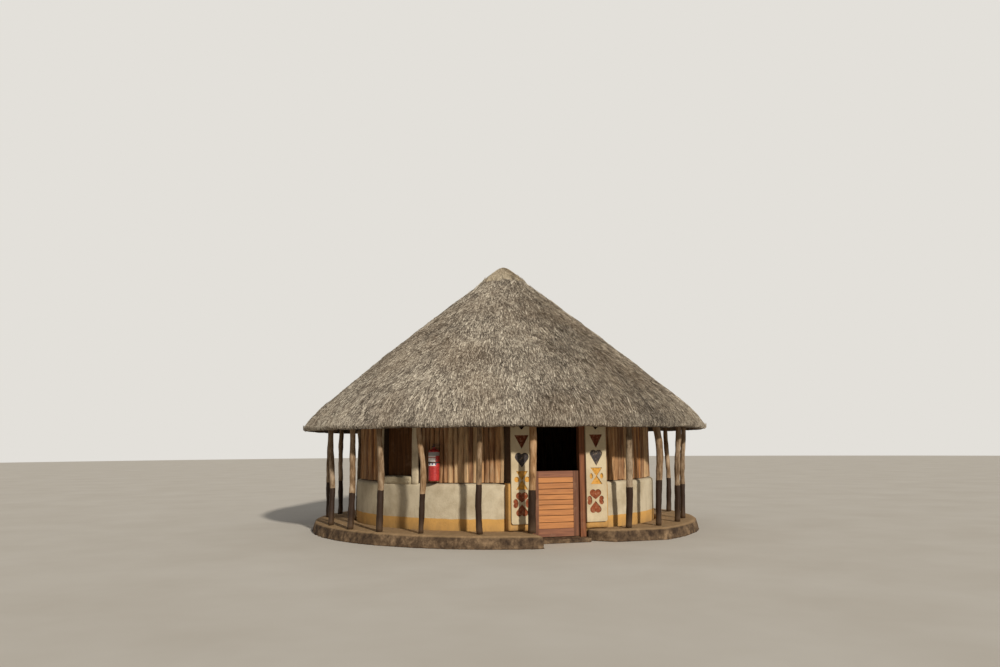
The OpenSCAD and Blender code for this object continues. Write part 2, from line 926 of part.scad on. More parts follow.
plinth_ring(-84, -4);  // plinth_left
plinth_ring(4, 84);  // plinth_right
plinth_ring(180, 276);  // plinth_rear_left
plinth_ring(84, 180);  // plinth_rear_right
floor_slab();
threshold();
dado(-96, -12);  // dado_left
dado(12, 96);  // dado_right
dado(180, 264);  // dado_rear_left
dado(96, 180);  // dado_rear_right
cladding(window_az + window_half + jamb_az, -14);  // cladding_front
cladding(-120, window_az - window_half - jamb_az);  // cladding_left
cladding(15, 75);  // cladding_right
cladding(157.5, 240);  // cladding_rear_left
cladding(75, 157.5);  // cladding_rear_right
window_jambs();
window_sill();
window_lintel();
window_shutter();
door_pier(-1);  // door_pier_left
door_pier(1);  // door_pier_right
door_panel(-1);  // door_panel_left
door_panel(1);  // door_panel_right
panel_motifs();
door_lintel();
door_frame();
frame_ironwork();
leaf_stiles();
leaf_rails();
leaf_boards();
leaf_straps();
leaf_bolt();
front_posts(left_posts);  // posts_left
front_posts(right_posts);  // posts_right
posts_rear();
eaves_beam();
wall_plate();
rafters();
crown_block();
battens();
thatch(-30, 30);  // thatch_front
thatch(-90, -30);  // thatch_front_left
thatch(30, 90);  // thatch_front_right
thatch(150, 210);  // thatch_rear
thatch(210, 270);  // thatch_rear_left
thatch(90, 150);  // thatch_rear_right
thatch_cap();
extinguisher_body();
extinguisher_valve();
extinguisher_bracket();
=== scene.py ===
"""Looks of a round thatched hut: straw, split poles, lime plaster, logs and a stable door.

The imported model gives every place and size. The classes below dress it, sub-assembly by
sub-assembly: some solids keep their mesh and get a finish, others are stood for by a denser,
hand-worn mesh of the same outline. Lengths are in metres, the door faces -Y and +Z is up.
"""

from __future__ import annotations

import json
import logging
import math
from dataclasses import dataclass, field, replace
from enum import Enum
from functools import partial
from typing import Callable, Sequence, Union

import bmesh
import bpy
from mathutils import Matrix, Vector, noise

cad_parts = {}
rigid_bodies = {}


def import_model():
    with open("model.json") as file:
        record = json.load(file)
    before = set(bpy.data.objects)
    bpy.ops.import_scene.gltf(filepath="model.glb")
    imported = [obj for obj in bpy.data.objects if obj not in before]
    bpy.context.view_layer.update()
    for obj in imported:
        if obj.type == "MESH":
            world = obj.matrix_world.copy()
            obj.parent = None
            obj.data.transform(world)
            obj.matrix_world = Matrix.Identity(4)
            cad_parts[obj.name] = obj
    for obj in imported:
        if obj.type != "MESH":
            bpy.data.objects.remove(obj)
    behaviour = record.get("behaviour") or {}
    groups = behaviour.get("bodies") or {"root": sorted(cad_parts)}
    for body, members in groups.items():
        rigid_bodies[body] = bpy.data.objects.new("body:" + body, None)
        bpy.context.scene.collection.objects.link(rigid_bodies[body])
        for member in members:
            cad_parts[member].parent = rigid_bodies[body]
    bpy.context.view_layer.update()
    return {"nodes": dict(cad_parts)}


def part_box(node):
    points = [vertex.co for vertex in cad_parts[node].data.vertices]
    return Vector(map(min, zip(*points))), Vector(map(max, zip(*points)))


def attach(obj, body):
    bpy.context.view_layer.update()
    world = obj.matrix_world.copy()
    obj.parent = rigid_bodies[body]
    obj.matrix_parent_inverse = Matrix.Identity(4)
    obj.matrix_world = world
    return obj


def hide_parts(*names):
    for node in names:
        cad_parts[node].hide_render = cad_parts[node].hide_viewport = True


log = logging.getLogger("hut")

HUT = "hut"
LEAF = "door_leaf"

Mesh = bpy.types.Mesh
Socket = bpy.types.NodeSocket
Tree = bpy.types.NodeTree
Value = Union[Socket, float]
Colour = tuple[float, float, float, float]
Span = tuple[float, float]
# Positions and written colours along a ramp
Stops = tuple[tuple[float, str], ...]
# Waves to a metre, seed and height of each of a few noises
Waves = tuple[tuple[float, float, float], ...]
# Shift of a point of a surface, from its place and its normal
Wear = Callable[[Vector, Vector], Vector]

STILL = Vector((0.0, 0.0, 0.0))
# Corners nearer than this are one
WELD = 1e-5
# A face whose normal leans further than this to a side faces that side
FACING = 0.4


class Zone(Enum):
    """Parts of the thatch that carry straw of their own length and lie."""

    UNDER = 0.0
    SLOPE = 1.0
    LIP = 2.0


class Grain(Enum):
    """Which way the fibres of timber run, as the stretch of their pattern."""

    LEVEL = (0.09, 1.0, 1.0)
    UPRIGHT = (1.0, 1.0, 0.07)


def paint(code: str) -> Colour:
    """Turn a written colour into the linear one that a shader takes.

    Args:
        code: Six hexadecimal digits, red, green and blue.

    Returns:
        Linear red, green and blue, and full alpha.
    """
    parts = [int(code[i : i + 2], 16) / 255 for i in (0, 2, 4)]
    linear = [p / 12.92 if p <= 0.04045 else ((p + 0.055) / 1.055) ** 2.4 for p in parts]
    return (linear[0], linear[1], linear[2], 1.0)


def polar(radius: float, azimuth: float, z: float = 0.0) -> Vector:
    """Point at a radius and an azimuth in degrees, measured from the door towards +X."""
    a = math.radians(azimuth)
    return Vector((radius * math.sin(a), -radius * math.cos(a), z))


def ripple(point: Vector, scale: float, seed: float = 0.0) -> float:
    """Smooth noise between about -1 and 1, with scale waves to a metre."""
    return noise.noise(point * scale + Vector((seed, seed * 0.37, -seed)))


def ripples(point: Vector, waves: Waves) -> float:
    """Sum of a few smooth noises, each times its height."""
    return sum(ripple(point, scale, seed) * height for scale, seed, height in waves)


class Sheet:
    """A node tree that is being filled in."""

    def __init__(self, tree: Tree) -> None:
        """Start on an empty tree."""
        self.tree = tree
        tree.nodes.clear()

    def add(self, kind: str, inputs: dict | None = None, **settings: object) -> bpy.types.Node:
        """Add a node, set it up and join it to what feeds it.

        Args:
            kind: The node's type.
            inputs: Socket name or number to a value or to another node's output.
            **settings: Properties of the node.

        Returns:
            The new node.
        """
        node = self.tree.nodes.new(kind)
        for name, value in settings.items():
            setattr(node, name, value)
        for key, value in (inputs or {}).items():
            named = (s for s in node.inputs if s.name == key and s.enabled)
            socket = node.inputs[key] if isinstance(key, int) else next(named)
            if isinstance(value, Socket):
                self.tree.links.new(value, socket)
            else:
                socket.default_value = value
        return node

    def out(self, kind: str, inputs: dict | None = None, **settings: object) -> Socket:
        """Add a node and return its first output."""
        return self.add(kind, inputs, **settings).outputs[0]

    def math(self, operation: str, a: Value, b: Value = 0.0) -> Socket:
        """Result of a sum on two numbers."""
        return self.out("ShaderNodeMath", {0: a, 1: b}, operation=operation)

    def plus(self, a: Value, b: Value) -> Socket:
        """One number and another."""
        return self.math("ADD", a, b)

    def minus(self, a: Value, b: Value) -> Socket:
        """One number less another."""
        return self.math("SUBTRACT", a, b)

    def times(self, a: Value, b: Value) -> Socket:
        """One number times another."""
        return self.math("MULTIPLY", a, b)

    def total(self, *terms: tuple[Value, float]) -> Socket:
        """Sum of numbers, each times its weight.

        Args:
            *terms: Each number and its weight.

        Returns:
            The sum.
        """
        result = self.times(*terms[0])
        for term in terms[1:]:
            result = self.plus(result, self.times(*term))
        return result

    def vector(self, operation: str, a: object, b: object) -> Socket:
        """Result of a sum on two vectors."""
        return self.out("ShaderNodeVectorMath", {0: a, 1: b}, operation=operation)

    def scaled(self, vector: Socket, factor: Value) -> Socket:
        """A vector times a number."""
        return self.out("ShaderNodeVectorMath", {0: vector, 3: factor}, operation="SCALE")

    def joined(self, x: Value = 0.0, y: Value = 0.0, z: Value = 0.0) -> Socket:
        """A vector from its three parts."""
        return self.out("ShaderNodeCombineXYZ", {0: x, 1: y, 2: z})

    def turned(self, x: Value = 0.0, y: Value = 0.0, z: Value = 0.0) -> Socket:
        """A rotation from its turns about the three axes."""
        return self.out("FunctionNodeEulerToRotation", {0: self.joined(x, y, z)})

    def random(self, low: float, high: float, seed: Value, step: int = 0) -> Socket:
        """A random number for each element, between two limits."""
        feeds = {2: low, 3: high, 8: self.plus(seed, step) if step else seed}
        return self.add("FunctionNodeRandomValue", feeds, data_type="FLOAT").outputs[1]

    def held(self, name: str) -> Socket:
        """Number that the mesh holds, for a geometry tree."""
        return self.out("GeometryNodeInputNamedAttribute", {"Name": name}, data_type="FLOAT")

    def place(self, *stretch: float) -> Socket:
        """The piece's own coordinates, in metres, stretched along its axes if asked."""
        coords = self.add("ShaderNodeTexCoord").outputs["Object"]
        return self.vector("MULTIPLY", coords, stretch or (1, 1, 1))

    def height(self) -> Socket:
        """Height above the ground, in metres."""
        return self.add("ShaderNodeSeparateXYZ", {0: self.place()}).outputs["Z"]

    def tone(self, name: str = "tone") -> Socket:
        """Number between 0 and 1 that the mesh holds for each straw, pole or board."""
        return self.add("ShaderNodeAttribute", attribute_name=name).outputs["Fac"]

    def clouds(
        self, where: Socket, scale: float, detail: float = 4.0, rough: float = 0.6
    ) -> Socket:
        """Cloudy noise between 0 and 1."""
        feeds = {"Vector": where, "Scale": scale, "Detail": detail, "Roughness": rough}
        return self.add("ShaderNodeTexNoise", feeds).outputs["Fac"]

    def ramp(self, fac: Socket, *stops: tuple[float, str], steps: bool = False) -> Socket:
        """Colour along a row of stops.

        Args:
            fac: Where along the row.
            *stops: Position and written colour of each stop, in order.
            steps: Whether the colour jumps at each stop.

        Returns:
            The colour.
        """
        node = self.add("ShaderNodeValToRGB", {0: fac})
        band = node.color_ramp
        band.interpolation = "CONSTANT" if steps else "LINEAR"
        while len(band.elements) < len(stops):
            band.elements.new(1.0)
        for element, (position, code) in zip(band.elements, stops):
            element.position = position
            element.color = paint(code)
        return node.outputs["Color"]

    def grey(self, fac: Socket, low: float, high: float) -> Socket:
        """Number that rises from 0 at low to 1 at high."""
        return self.out("ShaderNodeMapRange", {0: fac, 1: low, 2: high}, clamp=True)

    def blend(self, fac: Value, a: object, b: object) -> Socket:
        """Mix of two colours."""
        feeds = {0: fac, 6: a, 7: b}
        return self.add("ShaderNodeMix", feeds, data_type="RGBA").outputs[2]

    def over(self, colour: Socket, code: str, mask: Socket, strength: float = 1.0) -> Socket:
        """A colour with a written one laid over it, where a mask says and as strongly as asked."""
        share = mask if strength == 1.0 else self.times(mask, strength)
        return self.blend(share, colour, paint(code))

    def surface(
        self,
        colour: Socket,
        rough: Value,
        relief: Socket | None = None,
        depth: float = 0.0,
        metal: float = 0.0,
        sheen: float = 0.5,
    ) -> None:
        """Close the tree with a shader.

        Args:
            colour: Base colour.
            rough: Roughness.
            relief: Height of the fine relief, between 0 and 1.
            depth: Depth of that relief in metres.
            metal: 1 on bare metal.
            sheen: How strongly the surface reflects, 0.5 on most.
        """
        feeds: dict = {
            "Base Color": colour,
            "Roughness": rough,
            "Metallic": metal,
            "Specular IOR Level": sheen,
        }
        if relief is not None:
            bump = {"Strength": 1.0, "Distance": depth, "Height": relief}
            feeds["Normal"] = self.out("ShaderNodeBump", bump)
        shader = self.out("ShaderNodeBsdfPrincipled", feeds)
        self.add("ShaderNodeOutputMaterial", {"Surface": shader})


@dataclass(frozen=True)
class Finish:
    """A finish of one or more pieces, which each kind below draws in its own way."""

    name: str

    def build(self) -> bpy.types.Material:
        """Make the material.

        Returns:
            A new material with the finish drawn on it.
        """
        material = bpy.data.materials.new(self.name)
        material.use_nodes = True
        self.draw(Sheet(material.node_tree))
        return material

    def draw(self, sheet: Sheet) -> None:
        """Draw the finish on an empty sheet."""
        raise NotImplementedError


@dataclass(frozen=True)
class StrawFinish(Finish):
    """Dead grass: each stalk has its own tone, and the roof has weathered patches and dark blotches
    of painted shade that stand for holes.
    """

    name: str = "weathered_straw"
    dark: str = "50473e"
    middle: str = "948878"
    pale: str = "cec3af"
    # Colour of the painted shade in holes of the straw
    hole: str = "3d3329"
    warm: str = "9a8163"

    def draw(self, sheet: Sheet) -> None:
        """Draw the straw.

        Args:
            sheet: The empty sheet.
        """
        where = sheet.place()
        patch = sheet.clouds(where, 1.3, 5.0, 0.65)
        tuft = sheet.clouds(where, 9.0, 3.0, 0.6)
        speck = sheet.clouds(where, 30.0, 3.0, 0.7)
        tone = sheet.total((sheet.tone(), 0.36), (patch, 0.40), (tuft, 0.32), (speck, 0.12))
        colour = sheet.ramp(tone, (0.39, self.dark), (0.60, self.middle), (0.79, self.pale))
        # Painted shade: dark blotches standing for holes in the straw
        gap = sheet.grey(sheet.clouds(where, 6.5, 2.0, 0.5), 0.645, 0.72)
        colour = sheet.over(colour, self.hole, gap, 0.62)
        sunned = sheet.grey(sheet.clouds(where, 0.9, 3.0), 0.42, 0.62)
        colour = sheet.over(colour, self.warm, sunned, 0.16)
        sheet.surface(colour, 0.88, speck, 0.004, sheen=0.2)


@dataclass(frozen=True)
class SplitPoleFinish(Finish):
    """Split poles of the upper wall: brown, orange and grey, each with its own grain."""

    name: str = "split_poles"
    hues: Stops = (
        (0.00, "7d583b"),
        (0.14, "a97f55"),
        (0.30, "b88c5f"),
        (0.44, "8d6848"),
        (0.58, "c7a980"),
        (0.70, "bb7f47"),
        (0.80, "9a7450"),
        (0.90, "6e4f38"),
    )
    strands: Stops = (
        (0.34, "583c28"),
        (0.45, "9c7048"),
        (0.56, "c4976a"),
        (0.68, "dcc29a"),
    )
    crack: str = "402c1f"
    stain: str = "553d2b"

    def draw(self, sheet: Sheet) -> None:
        """Draw the poles.

        Args:
            sheet: The empty sheet.
        """
        fibre = sheet.clouds(sheet.place(1, 1, 0.05), 62.0, 5.0, 0.65)
        streak = sheet.clouds(sheet.place(1, 1, 0.12), 19.0, 4.0, 0.6)
        damp = sheet.clouds(sheet.place(1, 1, 0.5), 5.0, 4.0)
        hue = sheet.ramp(sheet.tone(), *self.hues, steps=True)
        worn = sheet.blend(0.42, hue, sheet.ramp(streak, *self.strands))
        worn = sheet.blend(sheet.grey(fibre, 0.30, 0.42), paint(self.crack), worn)
        worn = sheet.over(worn, self.stain, sheet.grey(damp, 0.5, 0.75), 0.5)
        sheet.surface(worn, 0.82, sheet.total((fibre, 0.5), (streak, 0.5)), 0.010, sheen=0.25)


@dataclass(frozen=True)
class PlasterFinish(Finish):
    """Hand-smoothed lime plaster, with a painted band at its foot where asked.

    Above a given height and within a given radius it takes a dark colour, painted shade.
    """

    face: str = "cdbfa3"
    shade: str = "ad9d80"
    run: str = "9c8d74"
    band: str = "d8a55a"
    band_shade: str = "bd9050"
    band_top: float = 0.0
    waver: float = 0.03
    # bare is the colour of the painted shade; the two limits below say where it is laid
    bare: str = "4e3a2a"
    bare_from: float = 9.0
    bare_within: float = 0.0
    grime: str = "8a7052"
    splashed: float = 0.30
    pit: str = "8f7f66"
    depth: float = 0.006

    def draw(self, sheet: Sheet) -> None:
        """Draw the plaster.

        Args:
            sheet: The empty sheet.
        """
        where = sheet.place()
        wash = sheet.clouds(where, 2.3, 5.0, 0.6)
        fine = sheet.clouds(where, 34.0, 5.0, 0.65)
        runs = sheet.clouds(sheet.place(1, 1, 0.16), 7.0, 4.0, 0.7)
        colour = sheet.ramp(wash, (0.34, self.shade), (0.58, self.face))
        colour = sheet.over(colour, self.run, sheet.grey(runs, 0.55, 0.78), 0.5)
        if self.band_top > 0:
            waver = sheet.times(sheet.clouds(where, 5.0, 2.0), self.waver)
            level = sheet.plus(sheet.height(), waver)
            inside = sheet.math("LESS_THAN", level, self.band_top + self.waver / 2)
            worn = sheet.grey(wash, 0.35, 0.65)
            colour = sheet.blend(
                inside, colour, sheet.blend(worn, paint(self.band_shade), paint(self.band))
            )
        # Painted shade: the dark bare colour above one height and within one radius
        bare = sheet.math("GREATER_THAN", sheet.height(), self.bare_from)
        if self.bare_within > 0:
            flat = sheet.add("ShaderNodeVectorMath", {0: sheet.place(1, 1, 0)}, operation="LENGTH")
            within = sheet.math("LESS_THAN", flat.outputs["Value"], self.bare_within)
            bare = sheet.math("MAXIMUM", bare, within)
        colour = sheet.over(colour, self.bare, bare)
        splash = sheet.grey(sheet.minus(self.splashed, sheet.height()), -0.05, 0.16)
        splash = sheet.times(splash, sheet.grey(runs, 0.3, 0.6))
        colour = sheet.over(colour, self.grime, splash, 0.55)
        pitted = sheet.blend(0.5, colour, paint(self.pit))
        colour = sheet.blend(sheet.times(sheet.grey(fine, 0.2, 0.42), 0.9), pitted, colour)
        sheet.surface(colour, 0.9, fine, self.depth, sheen=0.2)


@dataclass(frozen=True)
class ConcreteFinish(Finish):
    """Rough, stained floor concrete, paler at the height of its worn edge."""

    name: str = "veranda_concrete"
    dark: str = "3a2d23"
    middle: str = "604d3a"
    pale: str = "957b5e"
    worn: str = "b8976e"
    dirt: str = "4f4133"
    edge: Span = (0.155, 0.178)

    def draw(self, sheet: Sheet) -> None:
        """Draw the concrete.

        Args:
            sheet: The empty sheet.
        """
        where = sheet.place()
        stain = sheet.clouds(where, 3.2, 6.0, 0.7)
        lumps = sheet.clouds(where, 15.0, 4.0, 0.65)
        grit = sheet.clouds(where, 44.0, 4.0, 0.7)
        runs = sheet.clouds(sheet.place(1, 1, 0.8), 5.0, 5.0, 0.7)
        tone = sheet.total((stain, 0.45), (runs, 0.3), (lumps, 0.25))
        colour = sheet.ramp(tone, (0.41, self.dark), (0.50, self.middle), (0.61, self.pale))
        colour = sheet.over(colour, self.worn, sheet.grey(sheet.height(), *self.edge), 0.6)
        colour = sheet.over(colour, self.dirt, sheet.grey(grit, 0.55, 0.8), 0.5)
        sheet.surface(colour, 0.93, sheet.total((grit, 0.4), (lumps, 0.6)), 0.02, sheen=0.15)


@dataclass(frozen=True)
class LogFinish(Finish):
    """Weathered pole with checks along it, and dark paint on its foot where asked."""

    face: str = "ab9880"
    shade: str = "6f5d48"
    check: str = "4a3b2c"
    fresh: tuple[str, str, str] = ("5b4029", "967049", "c4a07a")
    coated: bool = False
    coat: str = "2e1e12"
    rubbed: str = "6b4f36"
    dust: str = "80674d"
    dusty: float = 0.42

    def draw(self, sheet: Sheet) -> None:
        """Draw the log.

        Args:
            sheet: The empty sheet.
        """
        fibre = sheet.clouds(sheet.place(1, 1, 0.05), 85.0, 5.0, 0.65)
        blotch = sheet.clouds(sheet.place(1, 1, 0.5), 6.5, 4.0, 0.65)
        tone = sheet.total((fibre, 0.5), (blotch, 0.5))
        levels = (0.36, 0.47, 0.62)
        colour = sheet.ramp(tone, *zip(levels, (self.check, self.shade, self.face)))
        rough: Value = 0.85
        if self.coated:
            bright = sheet.ramp(tone, *zip(levels, self.fresh))
            colour = sheet.blend(sheet.tone("fresh"), colour, bright)
            ragged = sheet.times(sheet.clouds(sheet.place(), 30.0, 2.0), 0.02)
            top = sheet.plus(sheet.tone("coat"), 0.01)
            inside = sheet.math("LESS_THAN", sheet.plus(sheet.height(), ragged), top)
            worn = sheet.times(sheet.grey(fibre, 0.58, 0.72), 0.4)
            coat = sheet.blend(worn, paint(self.coat), paint(self.rubbed))
            low = sheet.grey(sheet.minus(self.dusty, sheet.height()), 0.0, 0.24)
            colour = sheet.blend(inside, colour, sheet.over(coat, self.dust, low, 0.3))
            rough = sheet.minus(rough, sheet.times(inside, 0.25))
        sheet.surface(colour, rough, fibre, 0.006, sheen=0.2)


@dataclass(frozen=True)
class JoineryFinish(Finish):
    """Sawn and varnished timber, its fibres running along one axis."""

    grain: Grain
    face: str
    shade: str
    rough: float = 0.55
    sheen: float = 0.4
    worn: str = "a98a6c"

    def draw(self, sheet: Sheet) -> None:
        """Draw the timber.

        Args:
            sheet: The empty sheet.
        """
        stretch = self.grain.value
        swirl = sheet.clouds(sheet.place(*stretch), 6.0, 3.0, 0.55)
        along = [s if s == 1.0 else s * 0.2 for s in stretch]
        fibre = sheet.clouds(sheet.place(*along), 110.0, 4.0)
        rings = sheet.math("PINGPONG", sheet.times(swirl, 7.0), 0.5)
        tone = sheet.total((rings, 0.5), (fibre, 0.6), (sheet.tone(), 0.3))
        colour = sheet.ramp(tone, (0.30, self.shade), (0.80, self.face))
        wear = sheet.clouds(sheet.place(), 4.0, 4.0, 0.7)
        colour = sheet.over(colour, self.worn, sheet.grey(wear, 0.56, 0.74), 0.25)
        gloss = sheet.plus(self.rough, sheet.times(wear, 0.25))
        sheet.surface(colour, gloss, fibre, 0.0015, sheen=self.sheen)


@dataclass(frozen=True)
class IronFinish(Finish):
    """Dull black iron with rust in its pits."""

    name: str = "dull_iron"
    black: str = "2e2b29"
    rust: str = "5a3a28"

    def draw(self, sheet: Sheet) -> None:
        """Draw the iron.

        Args:
            sheet: The empty sheet.
        """
        pits = sheet.clouds(sheet.place(), 40.0, 5.0, 0.7)
        colour = sheet.ramp(pits, (0.42, self.black), (0.6, self.rust))
        rough = sheet.plus(0.45, sheet.times(pits, 0.4))
        sheet.surface(colour, rough, pits, 0.0008, metal=0.4)


@dataclass(frozen=True)
class MotifFinish(Finish):
    """Colours in the figures of the door panels, one to each band of height."""

    name: str = "motif_colours"
    floor: float = 0.4
    span: float = 1.6
    bands: Stops = (
        (0.40, "88472a"),
        (0.80, "cf9743"),
        (1.15, "433e3d"),
        (1.438, "6a3218"),
        (1.70, "33231c"),
    )
    faded: str = "c8a886"
    grime: str = "2c1a12"

    def draw(self, sheet: Sheet) -> None:
        """Draw the figures' colours.

        Args:
            sheet: The empty sheet.
        """
        share = sheet.math("DIVIDE", sheet.minus(sheet.height(), self.floor), self.span)
        stops = [((z - self.floor) / self.span, code) for z, code in self.bands]
        colour = sheet.ramp(share, *stops, steps=True)
        worn = sheet.clouds(sheet.place(), 26.0, 5.0, 0.75)
        colour = sheet.over(colour, self.faded, sheet.grey(worn, 0.53, 0.66), 0.4)
        colour = sheet.over(colour, self.grime, sheet.grey(worn, 0.48, 0.34), 0.6)
        sheet.surface(colour, 0.85, worn, 0.008, sheen=0.2)


@dataclass(frozen=True)
class EnamelFinish(Finish):
    """Red enamel of the extinguisher, with a grey band and a bare pale label.

    Heights are in metres and angles round the bottle in degrees.
    """

    name: str = "red_enamel"
    azimuth: float = -40.7
    label: Span = (1.19, 1.348)
    band_top: float = 1.406
    stripe: Span = (1.318, 1.332)
    panes: Span = (1.205, 1.242)
    pane_pitch: float = 17.0
    pane_from: float = 8.0
    label_half: float = 62.0
    label_shift: float = 8.0
    red_from: float = 44.0
    shade: str = "8f1f1f"
    face: str = "bb302b"
    band: str = "8d8a86"
    paper: str = "e4ddd6"
    line: str = "b04a46"
    block: str = "b8332e"
    drawing: str = "4a5478"
    dust: str = "a8907a"

    def draw(self, sheet: Sheet) -> None:
        """Draw the enamel and the plain blocks of the label.

        Args:
            sheet: The empty sheet.
        """
        low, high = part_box("extinguisher_body")
        centre = (low + high) / 2
        local = sheet.vector("SUBTRACT", sheet.place(), (centre.x, centre.y, 0.0))
        x, y, z = sheet.add("ShaderNodeSeparateXYZ", {0: local}).outputs
        turn = sheet.math("ARCTAN2", x, sheet.times(y, -1.0))
        middle = math.radians(self.azimuth + self.label_shift)
        aside = sheet.math("ABSOLUTE", sheet.minus(turn, middle))
        facing = sheet.math("LESS_THAN", aside, math.radians(self.label_half))

        def between(levels: Span) -> Socket:
            """1 between two heights, else 0."""
            above = sheet.math("GREATER_THAN", z, levels[0])
            return sheet.times(above, sheet.math("LESS_THAN", z, levels[1]))

        scuff = sheet.clouds(sheet.place(), 30.0, 5.0, 0.7)
        colour = sheet.ramp(scuff, (0.35, self.shade), (0.6, self.face))
        colour = sheet.over(colour, self.band, between((self.label[1], self.band_top)))
        label = sheet.times(between(self.label), facing)
        colour = sheet.over(colour, self.paper, label)
        colour = sheet.over(colour, self.line, sheet.times(between(self.stripe), facing))
        right_hand = sheet.math("GREATER_THAN", turn, math.radians(self.azimuth + self.red_from))
        colour = sheet.over(colour, self.block, sheet.times(label, right_hand))
        pane = sheet.math("PINGPONG", sheet.plus(turn, 0.2), math.radians(self.pane_pitch))
        pane = sheet.math("GREATER_THAN", pane, math.radians(self.pane_from))
        pane = sheet.times(between(self.panes), pane)
        colour = sheet.over(colour, self.drawing, sheet.times(pane, facing))
        colour = sheet.over(colour, self.dust, sheet.grey(scuff, 0.58, 0.8), 0.3)
        sheet.surface(colour, sheet.plus(0.28, sheet.times(scuff, 0.3)), scuff, 0.0004)


@dataclass(frozen=True)
class FloorFinish(Finish):
    """Plain pale studio floor, a little uneven in tone."""

    name: str = "studio_floor"
    shade: str = "c8c0b3"
    face: str = "d0c9bd"

    def draw(self, sheet: Sheet) -> None:
        """Draw the floor."""
        tone = sheet.clouds(sheet.place(), 0.6, 3.0)
        sheet.surface(sheet.ramp(tone, (0.3, self.shade), (0.7, self.face)), 0.95, sheen=0.1)


def new_object(name: str, data: bpy.types.ID) -> bpy.types.Object:
    """Put a new object in the scene.

    Args:
        name: Its name.
        data: What it shows.

    Returns:
        The object.
    """
    thing = bpy.data.objects.new(name, data)
    bpy.context.scene.collection.objects.link(thing)
    return thing


def new_mesh(name: str, work: bmesh.types.BMesh) -> Mesh:
    """Turn work in hand into a mesh.

    Args:
        name: The mesh's name.
        work: The work, which ends here.

    Returns:
        The mesh.
    """
    mesh = bpy.data.meshes.new(name)
    work.to_mesh(mesh)
    work.free()
    return mesh


def plain_mesh(thing: bpy.types.Object) -> Mesh:
    """Work out an object's modifiers, and take the object away.

    Args:
        thing: The object.

    Returns:
        What it looks like with its modifiers.
    """
    graph = bpy.context.evaluated_depsgraph_get()
    mesh = bpy.data.meshes.new_from_object(thing.evaluated_get(graph), depsgraph=graph)
    bpy.data.objects.remove(thing)
    return mesh


def modified(mesh: Mesh, kind: str, **settings: object) -> Mesh:
    """Put a mesh through a modifier.

    Args:
        mesh: The mesh.
        kind: The modifier's type.
        **settings: Its settings.

    Returns:
        The new mesh.
    """
    holder = new_object("work", mesh)
    modifier = holder.modifiers.new("work", kind)
    for name, value in settings.items():
        setattr(modifier, name, value)
    return plain_mesh(holder)


def grown(mesh: Mesh, tree: Tree, *rounds: dict[str, object]) -> Mesh:
    """Put a mesh through a geometry tree, once for each round.

    Args:
        mesh: The mesh.
        tree: The tree.
        *rounds: The tree's inputs for each round, by their names in small letters.

    Returns:
        The new mesh.
    """
    holder = new_object("work", mesh)
    for values in rounds:
        modifier = holder.modifiers.new("work", "NODES")
        modifier.node_group = tree
        for item in tree.interface.items_tree:
            key = item.name.lower().replace(" ", "_")
            if item.in_out == "INPUT" and key in values:
                modifier[item.identifier] = values[key]
    return plain_mesh(holder)


def shift_points(mesh: Mesh, wear: Wear) -> None:
    """Move every point of a mesh.

    Args:
        mesh: The mesh.
        wear: Gives the shift of a point.
    """
    normals = [v.normal.copy() for v in mesh.vertices]
    for vertex, normal in zip(mesh.vertices, normals):
        vertex.co = vertex.co + wear(vertex.co, normal)
    mesh.update()


def keep_inside(mesh: Mesh, low: Vector, high: Vector) -> None:
    """Hold every point of a mesh inside a box.

    Args:
        mesh: The mesh.
        low: The box's lower corner.
        high: Its upper corner.
    """
    for vertex in mesh.vertices:
        for axis in range(3):
            vertex.co[axis] = min(max(vertex.co[axis], low[axis]), high[axis])
    mesh.update()


@dataclass(frozen=True)
class Rolling:
    """Wear that sinks a surface by slow waves and small pits.

    depth and pit say how deep they go, and waves and pits how many there are to a metre.
    """

    depth: float
    waves: float
    pit: float
    pits: float
    seed: float

    def __call__(self, place: Vector, normal: Vector) -> Vector:
        """Shift a point, always inwards.

        Args:
            place: The point.
            normal: The surface's normal there.

        Returns:
            The shift.
        """
        slow = (ripple(place, self.waves, self.seed) + 1) / 2
        small = max(0.0, ripple(place, self.pits, self.seed + 9))
        return normal * -(self.depth * slow + self.pit * small)


